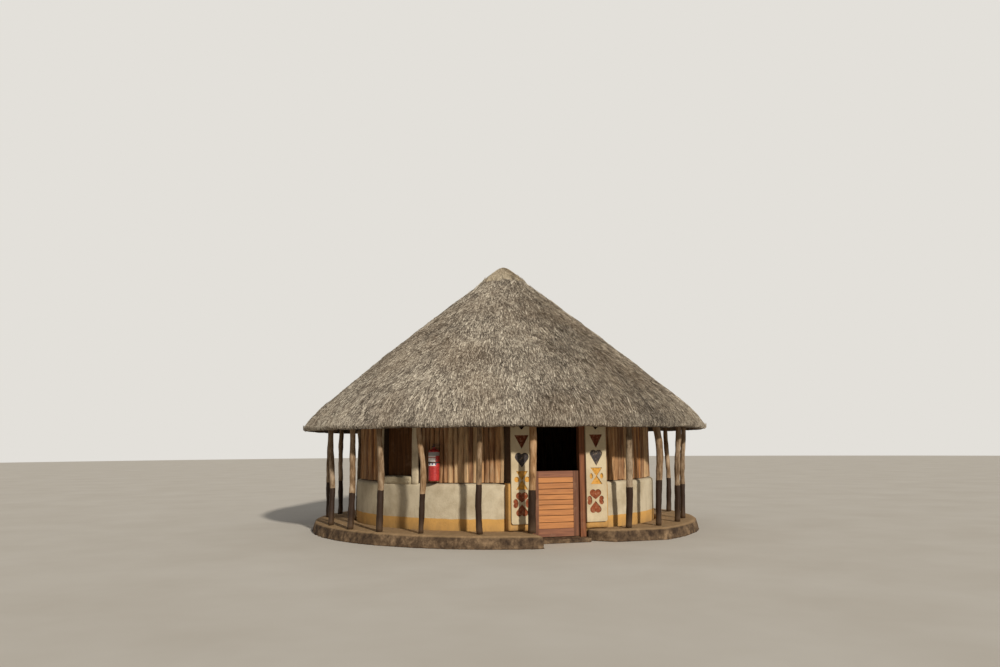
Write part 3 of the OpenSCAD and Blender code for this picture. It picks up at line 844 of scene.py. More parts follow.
@dataclass
class Workshop:
    """The loaded frame, the finishes in use, and the ways of making a piece from a solid."""

    nodes: dict[str, bpy.types.Object]
    finishes: dict[str, bpy.types.Material] = field(default_factory=dict)

    def finish(self, design: Finish) -> bpy.types.Material:
        """Look a finish's material up, or build it the first time.

        Args:
            design: The finish.

        Returns:
            The material.
        """
        if design.name not in self.finishes:
            self.finishes[design.name] = design.build()
        return self.finishes[design.name]

    def dress(self, design: Finish, *names: str) -> None:
        """Give solids of the frame their finish.

        Args:
            design: The finish.
            *names: The nodes.
        """
        for name in names:
            mesh = self.nodes[name].data
            mesh.materials.clear()
            mesh.materials.append(self.finish(design))
            log.info("%s keeps its mesh and gets %s", name, design.name)

    def piece(self, name: str, mesh: Mesh, body: str, slot: str, *stands_for: str) -> None:
        """Enter a finished mesh as a piece of the hut.

        Args:
            name: The piece's name.
            mesh: Its mesh, in place.
            body: The body that it rides on.
            slot: The record's material slot; not used.
            *stands_for: Nodes that it replaces.
        """
        mesh.name = name
        thing = new_object(name, mesh)
        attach(thing, body)
        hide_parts(*stands_for)
        mesh.calc_loop_triangles()
        log.info("%s: %d triangles", name, len(mesh.loop_triangles))

    def clean_copy(self, *names: str) -> Mesh:
        """Copy one or more nodes as one mesh with its doubled corners joined.

        Args:
            *names: The nodes.

        Returns:
            The mesh, without a material.
        """
        work = bmesh.new()
        for name in names:
            work.from_mesh(self.nodes[name].data)
        bmesh.ops.remove_doubles(work, verts=work.verts, dist=WELD)
        return new_mesh("copy", work)

    def worn(
        self,
        title: str,
        names: Sequence[str],
        voxel: float,
        wear: Wear,
        design: Finish,
        slot: str,
        lap: float = 0.0,
    ) -> None:
        """Stand a hand-worn skin in for one node, or for a few that touch.

        Args:
            title: Name of the piece.
            names: The nodes.
            voxel: Size of the skin's faces.
            wear: Gives the shift of a point.
            design: Finish of the skin.
            slot: Material slot.
            lap: How far its foot reaches down into what it stands on.
        """

        def shift(place: Vector, normal: Vector) -> Vector:
            """Shift of one point, straight down at the foot of a lapped piece."""
            foot = lap and normal.z < -FACING
            return Vector((0, 0, -lap)) if foot else wear(place, normal)

        mesh = modified(
            self.clean_copy(*names), "REMESH", mode="VOXEL", voxel_size=voxel, use_smooth_shade=True
        )
        shift_points(mesh, shift)
        lows, highs = zip(*(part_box(name) for name in names))
        low = Vector([min(corner[axis] for corner in lows) for axis in range(3)])
        high = Vector([max(corner[axis] for corner in highs) for axis in range(3)])
        keep_inside(mesh, low - Vector((0, 0, lap)), high)
        mesh.materials.append(self.finish(design))
        self.piece(title, mesh, HUT, slot, *names)


@dataclass
class Plinth:
    """The veranda's floor ring, the floor inside and the threshold."""

    shop: Workshop
    ring: tuple[str, ...] = ("plinth_left", "plinth_right", "plinth_rear_left", "plinth_rear_right")
    voxel: float = 0.040
    wear: Rolling = Rolling(depth=0.022, waves=1.7, pit=0.026, pits=10.0, seed=0.0)
    top_share: float = 0.35
    under: float = -0.5

    def build(self) -> None:
        """Make the worn ring and dress the flat floors."""
        concrete = ConcreteFinish()
        self.shop.worn("plinth_worn", self.ring, self.voxel, self.level, concrete, "concrete")
        self.shop.dress(concrete, "floor_slab", "threshold")

    def level(self, place: Vector, normal: Vector) -> Vector:
        """Shift a point, leaving the underside flat and the walked top nearly so.

        Args:
            place: The point.
            normal: The surface's normal there.

        Returns:
            The shift.
        """
        shift = self.wear(place, normal)
        shift.z *= self.top_share
        return STILL if normal.z < self.under else shift


@dataclass(frozen=True)
class PoleRow:
    """How uneven a row of poles is, as the least and the most that a pole has.

    place is where it stands on its share of the arc, out how far from the row's radius, lift
    how high its foot is, and broad its width to that share.
    """

    place: Span = (0.38, 0.62)
    out: Span = (-0.012, 0.008)
    lift: Span = (0.0, 0.016)
    broad: Span = (0.88, 1.20)
    thick: Span = (0.085, 0.125)
    shorter: float = 0.017


@dataclass
class Walls:
    """The plastered dado and the split poles above it.

    skin holds how deep the back and the front of the backing lie behind the poles' faces.
    """

    shop: Workshop
    dado: tuple[str, ...] = ("dado_left", "dado_right", "dado_rear_left", "dado_rear_right")
    plaster: PlasterFinish = PlasterFinish("dado_plaster", band_top=0.362)
    voxel: float = 0.055
    wear: Rolling = Rolling(depth=0.012, waves=2.6, pit=0.004, pits=9.0, seed=3.0)
    door_half: float = 1.1
    meeting: float = 0.035
    stretches: tuple[str, ...] = ("front", "left", "right", "rear_left", "rear_right")
    pole_width: float = 0.088
    variants: int = 11
    row: PoleRow = PoleRow()
    skin: Span = (0.075, 0.052)
    pier_left: float = -0.798
    pier_right: float = 0.868

    def build(self) -> None:
        """Make the dado and every stretch of poles."""
        self.shop.worn("dado_worn", self.dado, self.voxel, self.met, self.plaster, "plaster")
        poles = bpy.data.collections.new("pole_variants")
        for seed in range(self.variants):
            poles.objects.link(bpy.data.objects.new(f"variant_{seed}", split_pole(seed)))
        tree = pole_row_tree(self.row)
        for seed, name in enumerate(self.stretches):
            self.stretch(f"cladding_{name}", seed, tree, poles)
        for thing in list(poles.objects):
            bpy.data.objects.remove(thing)
        bpy.data.collections.remove(poles)

    def met(self, place: Vector, normal: Vector) -> Vector:
        """Shift a point, letting the ends beside the door reach into the piers.

        Args:
            place: The point.
            normal: The surface's normal there.

        Returns:
            The shift.
        """
        side = math.copysign(1.0, place.x)
        beside_door = place.y < 0 and abs(place.x) < self.door_half
        if beside_door and normal.x * side < -FACING:
            return Vector((-side * self.meeting, 0, 0))
        return self.wear(place, normal)

    def span(self, name: str) -> tuple[float, float, float]:
        """Find where a stretch begins and ends.

        Args:
            name: The node.

        Returns:
            Azimuths of its two ends, in radians, and its outer radius.
        """
        points = [v.co for v in self.shop.nodes[name].data.vertices]
        middle = sum((Vector((p.x, p.y, 0)).normalized() for p in points), Vector())
        centre = math.atan2(middle.x, -middle.y)
        turns = [
            (math.atan2(p.x, -p.y) - centre + math.pi) % (2 * math.pi) - math.pi for p in points
        ]
        outer = max(math.hypot(p.x, p.y) for p in points)
        return centre + min(turns), centre + max(turns), outer

    def stretch(self, name: str, seed: int, tree: Tree, poles: bpy.types.Collection) -> None:
        """Stand a row of separate poles, backed by a thin skin, in for one stretch.

        Args:
            name: The node that it replaces.
            seed: Seed of its row.
            tree: The node tree that lays poles out.
            poles: The poles to pick from.
        """
        low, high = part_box(name)
        start, end, outer = self.span(name)
        count = round((end - start) * outer / self.pole_width)
        back, front = (outer - depth for depth in self.skin)
        inputs = {
            "count": count,
            "start": start,
            "end": end,
            "radius": front,
            "foot": low.z,
            "height": high.z - low.z,
            "width": (end - start) * outer / count,
            "poles": poles,
            "seed": seed,
            "finish": self.shop.finish(SplitPoleFinish()),
        }
        mesh = grown(ring_slab(start, end, back, front, low.z, high.z, count), tree, inputs)
        self.clear_of_piers(mesh)
        self.shop.piece(f"{name}_poles", mesh, HUT, "split_poles", name)

    def clear_of_piers(self, mesh: Mesh) -> None:
        """Hold the poles beside the door clear of the piers, which end at pier_left and pier_right.

        Args:
            mesh: The row of poles.
        """
        for vertex in mesh.vertices:
            if vertex.co.y < 0 and self.pier_left < vertex.co.x < self.pier_right:
                vertex.co.x = self.pier_left if vertex.co.x < 0 else self.pier_right
        mesh.update()


def swept(sections: Sequence[Sequence[Sequence[float]]]) -> bmesh.types.BMesh:
    """Join a row of like sections into a closed solid.

    Args:
        sections: The points of each section, in order.

    Returns:
        The solid, still in hand.
    """
    work = bmesh.new()
    rings = [[work.verts.new(place) for place in section] for section in sections]
    count = len(rings[0])
    for near, far in zip(rings, rings[1:]):
        for k in range(count):
            n = (k + 1) % count
            work.faces.new((near[k], near[n], far[n], far[k]))
    work.faces.new(list(reversed(rings[0])))
    work.faces.new(rings[-1])
    bmesh.ops.recalc_face_normals(work, faces=work.faces)
    return work


def split_pole(seed: int, rings: int = 9, sides: int = 7) -> Mesh:
    """A pole split down its middle: round and rough in front, flat behind, one unit wide and high.

    Args:
        seed: Shifts its crooks and hollows.
        rings: Levels along it.
        sides: Points across its round face.

    Returns:
        A closed mesh, its round face towards -Y, its foot at z 0.
    """
    levels = []
    for k in range(rings):
        t = k / (rings - 1)
        lean = 0.20 * ripple(Vector((0, 0, t)), 2.3, seed * 7.1)
        half = 0.48 + 0.13 * ripple(Vector((0, 1, t)), 3.1, seed * 5.3)
        bulge = 0.42 + 0.14 * ripple(Vector((1, 0, t)), 2.7, seed * 3.7)
        ring = []
        for s in range(sides):
            a = math.pi * s / (sides - 1)
            rough = 1 + 0.10 * ripple(Vector((s * 1.7, seed, t * 1.5)), 1.6, seed)
            out = bulge * math.sin(a) ** 0.7 * rough
            ring.append((lean - half * math.cos(a), -out, t))
        levels.append(ring)
    return new_mesh("split_pole", swept(levels))


def ring_slab(
    start: float, end: float, inner: float, outer: float, low: float, high: float, steps: int
) -> Mesh:
    """A curved slab about the vertical axis.

    Args:
        start: Azimuth of one end, in radians.
        end: Azimuth of the other.
        inner: Inner radius.
        outer: Outer radius.
        low: Height of its foot.
        high: Height of its top.
        steps: Faces along it.

    Returns:
        A closed mesh.
    """
    corners = ((inner, low), (outer, low), (outer, high), (inner, high))
    turns = [math.degrees(start + (end - start) * k / steps) for k in range(steps + 1)]
    sections = [[polar(r, turn, z) for r, z in corners] for turn in turns]
    return new_mesh("ring_slab", swept(sections))


def begin_tree(name: str, **titles: str) -> tuple[Tree, Sheet, bpy.types.bpy_prop_collection]:
    """Start a geometry tree with named inputs.

    Args:
        name: The tree's name.
        **titles: Names of the inputs of each kind, with commas between.

    Returns:
        The tree, its sheet and the outputs of its input node.
    """
    tree = bpy.data.node_groups.new(name, "GeometryNodeTree")
    for kind, names in {"Geometry": "Geometry", **titles}.items():
        for title in names.split(", "):
            tree.interface.new_socket(title, in_out="INPUT", socket_type=f"NodeSocket{kind}")
    tree.interface.new_socket("Geometry", in_out="OUTPUT", socket_type="NodeSocketGeometry")
    sheet = Sheet(tree)
    return tree, sheet, sheet.add("NodeGroupInput").outputs


def end_tree(
    sheet: Sheet, things: dict[str, object], seed: Value, finish: Socket, skin: Socket | None = None
) -> None:
    """End a geometry tree: set out its instances, each with its tone, and dress them.

    Args:
        sheet: The tree's sheet.
        things: What feeds the node that sets instances out on points.
        seed: Seed of the tones.
        finish: The material.
        skin: What else belongs to the piece.
    """
    row = sheet.out("GeometryNodeInstanceOnPoints", things)
    tones = {"Geometry": row, "Name": "tone", "Value": sheet.random(0.0, 1.0, seed)}
    toned = sheet.out(
        "GeometryNodeStoreNamedAttribute", tones, data_type="FLOAT", domain="INSTANCE"
    )
    if skin:
        both = sheet.add("GeometryNodeJoinGeometry")
        for part in (toned, skin):
            sheet.tree.links.new(part, both.inputs[0])
        toned = both.outputs[0]
    real = sheet.out("GeometryNodeRealizeInstances", {"Geometry": toned})
    dressed = sheet.out("GeometryNodeSetMaterial", {"Geometry": real, "Material": finish})
    sheet.add("NodeGroupOutput", {0: dressed})


def pole_row_tree(row: PoleRow) -> Tree:
    """Build the tree that stands a row of poles side by side round an arc.

    Args:
        row: How uneven the row is.

    Returns:
        The tree. Its geometry input is the skin behind the poles.
    """
    tree, sheet, take = begin_tree(
        "pole_row",
        Int="Count, Seed",
        Float="Start, End, Radius, Foot, Height, Width",
        Collection="Poles",
        Material="Finish",
    )
    seed = take["Seed"]
    index = sheet.out("GeometryNodeInputIndex")
    jitter = sheet.random(*row.place, seed)
    along = sheet.math("DIVIDE", sheet.plus(index, jitter), take["Count"])
    arc = sheet.minus(take["End"], take["Start"])
    turn = sheet.plus(take["Start"], sheet.times(arc, along))
    radius = sheet.plus(take["Radius"], sheet.random(*row.out, seed, 11))
    foot = sheet.plus(take["Foot"], sheet.random(*row.lift, seed, 23))
    x = sheet.times(radius, sheet.math("SINE", turn))
    y = sheet.times(radius, sheet.times(sheet.math("COSINE", turn), -1.0))
    spots = {"Count": take["Count"], "Position": sheet.joined(x, y, foot)}
    width = sheet.times(take["Width"], sheet.random(*row.broad, seed, 31))
    thick = sheet.random(*row.thick, seed, 41)
    picks = {"Collection": take["Poles"], "Separate Children": True, "Reset Children": True}
    things = {
        "Points": sheet.out("GeometryNodePoints", spots),
        "Instance": sheet.out("GeometryNodeCollectionInfo", picks),
        "Pick Instance": True,
        "Rotation": sheet.turned(z=turn),
        "Scale": sheet.joined(width, thick, sheet.minus(take["Height"], row.shorter)),
    }
    end_tree(sheet, things, sheet.plus(seed, 53), take["Finish"], take["Geometry"])
    return tree


@dataclass
class Window:
    """The plastered reveal of the window and its boarded shutter."""

    shop: Workshop
    rim: float = 0.035
    voxel: float = 0.026
    lap: float = 0.03
    wear: Rolling = Rolling(depth=0.008, waves=6.0, pit=0.003, pits=20.0, seed=5.0)
    sill: PlasterFinish = PlasterFinish("reveal_plaster", face="cabd9f", shade="a29275")
    # The jamb's bare colour is painted shade on the inner reveal
    jamb: PlasterFinish = PlasterFinish(
        "jamb_plaster", face="d2c2a4", shade="9e8d72", bare="33241a"
    )
    shutter: JoineryFinish = JoineryFinish(
        "shutter_boards", Grain.UPRIGHT, "7a5230", "4a2f1b", rough=0.8, sheen=0.1
    )

    def build(self) -> None:
        """Wear the plaster, with painted shade behind its outer rim, and dress the lintel and
        shutter.
        """
        corners = self.shop.nodes["window_jambs"].data.vertices
        outer = max(math.hypot(v.co.x, v.co.y) for v in corners)
        # Painted shade: within the outer rim the jambs and the lintel are drawn dark
        jamb = replace(self.jamb, bare_within=outer - self.rim)
        for name, design in (("window_jambs", jamb), ("window_sill", self.sill)):
            self.shop.worn(
                f"{name}_worn", [name], self.voxel, self.wear, design, "plaster", self.lap
            )
        self.shop.dress(jamb, "window_lintel")
        self.shop.dress(self.shutter, "window_shutter")


@dataclass
class DoorFront:
    """The piers, the figured panels, the lintel and the door's frame."""

    shop: Workshop
    voxel: float = 0.032
    wear: Rolling = Rolling(depth=0.006, waves=4.0, pit=0.003, pits=14.0, seed=8.0)
    # Above the dado top the piers are drawn dark: painted shade between the poles and the panels
    ochre: PlasterFinish = PlasterFinish(
        "ochre_plaster", face="cb9a56", shade="b08446", bare_from=0.915
    )
    white: PlasterFinish = PlasterFinish(
        "panel_plaster", face="cdbb9a", shade="b6a484", depth=0.004
    )
    frame: JoineryFinish = JoineryFinish(
        "frame_timber", Grain.UPRIGHT, "a1663f", "683d25", rough=0.6, sheen=0.3
    )
    beam: JoineryFinish = JoineryFinish(
        "lintel_timber", Grain.LEVEL, "5b4130", "36261b", rough=0.7
    )

    def build(self) -> None:
        """Wear the piers and dress what keeps its mesh."""
        for name in ("door_pier_left", "door_pier_right"):
            self.shop.worn(
                f"{name}_worn", [name], self.voxel, self.wear, self.ochre, "ochre_plaster"
            )
        self.shop.dress(self.white, "door_panel_left", "door_panel_right")
        self.shop.dress(MotifFinish(), "panel_motifs")
        self.shop.dress(self.frame, "door_frame")
        self.shop.dress(self.beam, "door_lintel")
        self.shop.dress(IronFinish(), "frame_ironwork")


@dataclass
class StableDoor:
    """The lower leaf: stiles, rails, level boards and its ironwork."""

    shop: Workshop
    board_heights: tuple[float, ...] = (
        0.098, 0.105, 0.092, 0.075, 0.079, 0.081, 0.087, 0.094, 0.088
    )
    joint: float = 0.009
    board_setback: float = 0.002
    board_thinner: float = 0.006
    board_edge: float = 0.03
    board_round: float = 0.6
    board_tilt: Span = (0.03, 0.055)
    eased_edge: float = 0.003
    stile: JoineryFinish = JoineryFinish(
        "leaf_stile_timber", Grain.UPRIGHT, "8d5c40", "603d2a", sheen=0.3
    )
    rail: JoineryFinish = JoineryFinish("leaf_rail_timber", Grain.LEVEL, "a26b4a", "744834")
    board: JoineryFinish = JoineryFinish("leaf_board_timber", Grain.LEVEL, "c2824b", "96603a")

    def build(self) -> None:
        """Make the boards and ease the edges of the frame members."""
        self.eased("leaf_stiles", self.stile)
        self.eased("leaf_rails", self.rail)
        self.boards()
        self.shop.dress(IronFinish(), "leaf_straps", "leaf_bolt")

    def eased(self, name: str, design: Finish) -> None:
        """Stand a copy with eased edges in for a frame member.

        Args:
            name: The node.
            design: Its finish.
        """
        copy = self.shop.clean_copy(name)
        mesh = modified(copy, "BEVEL", width=self.eased_edge, segments=2, limit_method="ANGLE")
        mesh.materials.append(self.shop.finish(design))
        self.shop.piece(f"{name}_eased", mesh, LEAF, "door_timber", name)

    def boards(self) -> None:
        """Lay the level boards between the rails, each lapped a little over the one below."""
        low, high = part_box("leaf_boards")
        levels = [low.z + sum(self.board_heights[:k]) for k in range(len(self.board_heights))]
        middle = ((low.x + high.x) / 2, (low.y + high.y) / 2 - self.board_setback)
        places = [(*middle, z + tall / 2) for z, tall in zip(levels, self.board_heights)]
        spots = bpy.data.meshes.new("board_spots")
        spots.from_pydata(places, [], [])
        spots.attributes.new("tall", "FLOAT", "POINT").data.foreach_set("value", self.board_heights)
        work = bmesh.new()
        bmesh.ops.create_cube(work, size=1.0)
        edge = {"offset": self.board_edge, "segments": 2, "profile": self.board_round}
        bmesh.ops.bevel(work, geom=work.edges[:], affect="EDGES", **edge)
        pattern = new_object("board_pattern", new_mesh("board", work))
        inputs = {
            "board": pattern,
            "length": high.x - low.x,
            "thickness": high.y - low.y - self.board_thinner,
            "joint": self.joint,
            "finish": self.shop.finish(self.board),
        }
        mesh = grown(spots, board_stack_tree(self.board_tilt), inputs)
        bpy.data.objects.remove(pattern)
        self.shop.piece("leaf_board_stack", mesh, LEAF, "door_timber", "leaf_boards")


def board_stack_tree(tilt: Span) -> Tree:
    """Build the tree that stacks level boards.

    Args:
        tilt: The least and the most that a board leans, in radians.

    Returns:
        The tree. Its geometry input has a point at each board's middle, which holds its height.
    """
    tree, sheet, take = begin_tree(
        "board_stack", Object="Board", Float="Length, Thickness, Joint", Material="Finish"
    )
    clear = sheet.minus(sheet.held("tall"), take["Joint"])
    board = sheet.add("GeometryNodeObjectInfo", {"Object": take["Board"]})
    things = {
        "Points": take["Geometry"],
        "Instance": board.outputs["Geometry"],
        "Rotation": sheet.turned(x=sheet.random(*tilt, 3)),
        "Scale": sheet.joined(take["Length"], take["Thickness"], clear),
    }
    end_tree(sheet, things, 5, take["Finish"])
    return tree


@dataclass(frozen=True)
class Coat:
    """Paint on one post's foot: its azimuth, the paint's top and how fresh the bare wood is."""

    azimuth: float
    top: float
    fresh: float


@dataclass
class Veranda:
    """The crooked posts and the ring pole that they carry.

    An edge sharper than sharp, in degrees, stays sharp.
    """

    shop: Workshop
    groups: tuple[str, ...] = ("posts_left", "posts_right", "posts_rear")
    coats: tuple[Coat, ...] = (
        Coat(-77.8, 0.80, 0.20),
        Coat(-63.5, 0.76, 0.35),
        Coat(-52.2, 0.82, 0.25),
        Coat(-39.6, 0.78, 0.55),
        Coat(-23.9, 0.92, 0.30),
        Coat(-9.8, 0.83, 0.95),
        Coat(21.8, 0.83, 0.05),
        Coat(33.0, 0.92, 0.35),
        Coat(46.8, 0.80, 0.20),
        Coat(58.6, 0.79, 0.20),
        Coat(85.0, 0.84, 0.30),
    )
    plain_coat: Coat = Coat(0.0, 0.83, 0.2)
    reach: float = 5.0
    sharp: float = 60.0
    swell: float = 0.003
    knots: Span = (5.0, 0.008)
    checks: Span = (32.0, 0.006)
    drawn_out: float = 0.3
    end: float = 0.8
    post: LogFinish = LogFinish("post_timber", coated=True)
    beam: LogFinish = LogFinish("beam_timber", face="6e5b49", shade="453627")

    def build(self) -> None:
        """Round and roughen the posts and dress the beam."""
        for seed, name in enumerate(self.groups):
            mesh = self.rounded(name)
            self.mark_coats(mesh)
            shift_points(mesh, partial(self.bark, seed))
            keep_inside(mesh, *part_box(name))
            mesh.materials.append(self.shop.finish(self.post))
            self.shop.piece(f"{name}_rounded", mesh, HUT, "log", name)
        self.shop.dress(self.beam, "eaves_beam")

    def coat_at(self, place: Vector) -> Coat:
        """Find the coat of the post that a place is on.

        Args:
            place: The place.

        Returns:
            Its coat, or the plain one on the rear posts.
        """
        azimuth = math.degrees(math.atan2(place.x, -place.y))
        near = min(self.coats, key=lambda coat: abs(coat.azimuth - azimuth))
        return near if abs(near.azimuth - azimuth) < self.reach else self.plain_coat

    def mark_coats(self, mesh: Mesh) -> None:
        """Write each point's paint height and freshness into the mesh.

        Args:
            mesh: The posts.
        """
        coats = [self.coat_at(vertex.co) for vertex in mesh.vertices]
        for name, values in (("coat", [c.top for c in coats]), ("fresh", [c.fresh for c in coats])):
            mesh.attributes.new(name, "FLOAT", "POINT").data.foreach_set("value", values)

    def rounded(self, name: str) -> Mesh:
        """Smooth the facets of a node's logs away and keep their ends sharp.

        Args:
            name: The node.

        Returns:
            The smooth mesh.
        """
        work = bmesh.new()
        work.from_mesh(self.shop.clean_copy(name))
        bmesh.ops.join_triangles(
            work, faces=work.faces, angle_face_threshold=0.6, angle_shape_threshold=0.9
        )
        crease = work.edges.layers.float.new("crease_edge")
        for edge in work.edges:
            if len(edge.link_faces) == 2 and edge.calc_face_angle() > math.radians(self.sharp):
                edge[crease] = 1.0
        mesh = modified(new_mesh("logs", work), "SUBSURF", levels=2, render_levels=2)
        mesh.polygons.foreach_set("use_smooth", [True] * len(mesh.polygons))
        return mesh

    def bark(self, seed: int, place: Vector, normal: Vector) -> Vector:
        """Shift a point by the knots, hollows and checks of its log, but not on the two ends.

        Args:
            seed: Shifts the pattern.
            place: The point.
            normal: The surface's normal there.

        Returns:
            The shift.
        """
        if abs(normal.z) > self.end:
            return STILL
        stretched = Vector((place.x, place.y, place.z * self.drawn_out))
        knots = ripple(place, self.knots[0], seed) * self.knots[1]
        checks = ripple(stretched, self.checks[0], seed + 4) * self.checks[1]
        return normal * (self.swell + knots + checks)


@dataclass
class RoofFrame:
    """The poles under the thatch: wall plate, rafters, crown and battens."""

    shop: Workshop
    pole: LogFinish = LogFinish("roof_poles", face="7d6853", shade="4f3f30")

    def build(self) -> None:
        """Dress every member."""
        self.shop.dress(self.pole, "wall_plate", "rafters", "crown_block", "battens")


@dataclass(frozen=True)
class Straw:
    """How stalks lie on one part of the roof.

    density is their number to a square metre, and lift and stray are turns in radians, away
    from the surface and to the side.
    """

    zone: Zone
    density: float
    shortest: float
    longest: float
    width: float
    lift_low: float
    lift_high: float
    stray: float

    def inputs(self, seed: int, finish: bpy.types.Material) -> dict[str, object]:
        """What the straw tree takes, with the seed of a planting and the straw's material."""
        return {**vars(self), "zone": self.zone.value, "seed": seed, "finish": finish}


@dataclass(frozen=True)
class StrawBed:
    """What all stalks share.

    A face takes stalks if its zone is within match of theirs and its normal's height is above
    facing. tufts holds the tufts to a metre and how far they turn their stalks. sway, broad
    and rise are the least and the most of a stalk's own turn, of its width to the usual one,
    and of its height off the surface. flat is its thickness to its width.
    """

    match: float = 0.25
    facing: float = -0.93
    tufts: Span = (5.5, 4.0)
    sway: Span = (-0.6, 0.6)
    broad: Span = (0.6, 1.25)
    rise: Span = (0.001, 0.013)
    flat: float = 0.55


@dataclass
class Thatch:
    """The straw roof: six sectors round the cone and the cap over its top.

    The slope drops by fall for each metre of radius from the apex, swells by belly, and turns
    over the lip beyond the shoulder. over and under hold the lip's curve, as distances out from
    the eave and up from the slope, or up from the foot. The eave's waves and sag begin lip_from
    inwards of it and are full lip_full further out. lean is how far a unit off the surface goes
    out and up, and toss the same for its roughness. cap_outline holds radii and rises above the
    slope, and cap_rim distances out from the cap's rim and rises.
    """

    shop: Workshop
    fall: float = 0.813
    apex: float = 5.027
    inner: float = 0.38
    shoulder: float = 3.43
    belly: float = 0.040
    rows: int = 46
    tip_rise: float = 0.038
    over: tuple[Span, ...] = ((-0.23, -0.016), (-0.09, -0.067))
    under: tuple[Span, ...] = ((-0.005, 0.02), (-0.04, 0.0), (-0.12, 0.0))
    over_rows: int = 8
    lip_row: int = 6
    under_rows: int = 4
    inside_rows: int = 6
    inside: float = 0.175
    depth: float = 0.235
    settle: float = 0.016
    lip_settle: float = 0.006
    lip_from: float = 0.5
    lip_full: float = 0.45
    lean: Span = (0.63, 0.776)
    toss: Span = (0.6, 0.8)
    sag: float = 0.042
    sag_waves: Waves = ((4.2, 2.0, 0.6), (10.0, 6.0, 0.4))
    lumps: Waves = ((3.2, 1.0, 0.010), (9.0, 3.0, 0.009))
    strands: Waves = ((1.0, 3.0, 0.009),)
    strand_pitch: Span = (0.35, 1.6)
    column: float = 1.0
    sectors: tuple[tuple[str, float, float], ...] = (
        ("thatch_front", -30, 30),
        ("thatch_front_left", -90, -30),
        ("thatch_front_right", 30, 90),
        ("thatch_rear", 150, 210),
        ("thatch_rear_left", 210, 270),
        ("thatch_rear_right", 90, 150),
    )
    lies: tuple[Straw, ...] = (
        Straw(Zone.SLOPE, 2250.0, 0.07, 0.16, 0.006, 0.03, 0.16, 0.30),
        Straw(Zone.SLOPE, 420.0, 0.12, 0.26, 0.015, 0.03, 0.12, 0.34),
        Straw(Zone.LIP, 4300.0, 0.05, 0.11, 0.0065, 0.0, 0.16, 0.22),
    )
    bed: StrawBed = StrawBed()
    cap_lie: Straw = Straw(Zone.SLOPE, 5600.0, 0.07, 0.17, 0.006, 0.03, 0.16, 0.2)
    cap_straw: StrawFinish = StrawFinish("cap_straw", "766a5a", "b4a58c", "d9caae")
    cap_outline: tuple[Span, ...] = (
        (0.001, -0.036),
        (0.03, -0.020),
        (0.07, 0.0),
        (0.12, 0.010),
        (0.18, 0.014),
        (0.28, 0.016),
    )
    cap_rim: tuple[Span, ...] = (
        (-0.14, 0.010), (-0.07, -0.006), (-0.05, -0.030), (-0.14, -0.080)
    )
    cap_columns: int = 48
    cap_ragged: float = 0.13
    tuft_fall: float = 0.58
    tuft_round: float = 0.07

    def build(self) -> None:
        """Make the six sectors and the cap."""
        finish = self.shop.finish(StrawFinish())
        tree = straw_tree(self.bed)
        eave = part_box("thatch_rear")[1].y
        for seed, (name, start, end) in enumerate(self.sectors):
            rounds = [lie.inputs(seed * 10 + k, finish) for k, lie in enumerate(self.lies)]
            mesh = grown(self.sector(start, end, eave), tree, *rounds)
            self.hold_back(mesh, eave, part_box(name)[0].z)
            self.shop.piece(f"{name}_straw", mesh, HUT, "thatch", name)
        self.cap(tree)

    def top_line(self, radius: float) -> float:
        """Height of the smooth slope at a radius."""
        return self.apex - self.fall * radius

    def profile(self, eave: float) -> list[tuple[float, float, Zone]]:
        """Draw the section through the thatch, from the slope's top round the lip to the inside.

        Args:
            eave: Radius of the eave.

        Returns:
            Radius, height and zone of each point.
        """
        points: list[tuple[float, float, Zone]] = []
        for k in range(self.rows + 1):
            t = k / self.rows
            r = self.inner + (self.shoulder - self.inner) * t
            swell = self.belly * math.sin(math.pi * t)
            points.append((r, self.top_line(r) + swell, Zone.SLOPE))
        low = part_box("thatch_rear")[0].z
        tip = (eave, low + self.tip_rise)
        bends = [(eave + out, self.top_line(eave + out) + up) for out, up in self.over]
        over = ((self.shoulder, self.top_line(self.shoulder)), *bends, tip)
        for k in range(1, self.over_rows + 1):
            zone = Zone.SLOPE if k < self.lip_row else Zone.LIP
            points.append((*bezier(over, k / self.over_rows), zone))
        under = (tip, *((eave + out, low + up) for out, up in self.under))
        for k in range(1, self.under_rows + 1):
            points.append((*bezier(under, k / self.under_rows), Zone.LIP))
        inside = eave - self.inside
        for k in range(self.inside_rows + 1):
            r = inside + (self.inner - inside) * k / self.inside_rows
            points.append((r, self.top_line(r) - self.depth, Zone.UNDER))
        return points

    def sector(self, start: float, end: float, eave: float) -> Mesh:
        """Make one sector's solid, waved and settled, without its straw.

        Args:
            start: Azimuth of one end, in degrees.
            end: Azimuth of the other.
            eave: Radius of the eave.

        Returns:
            A closed mesh with the zone of each face.
        """
        outline = self.profile(eave)
        steps = round((end - start) / self.column)
        sections = []
        for k in range(steps + 1):
            azimuth = start + (end - start) * k / steps
            sections.append([self.settled(azimuth, r, z, zone, eave) for r, z, zone in outline])
        work = swept(sections)
        work.verts.index_update()
        layer = work.faces.layers.float.new("zone")
        for face in work.faces:
            rows = sorted(vertex.index % len(outline) for vertex in face.verts)
            zones = (outline[rows[0]][2], outline[rows[-1]][2])
            if rows[-1] - rows[0] == 1 and Zone.UNDER not in zones:
                face[layer] = max(zone.value for zone in zones)
        return new_mesh("sector", work)

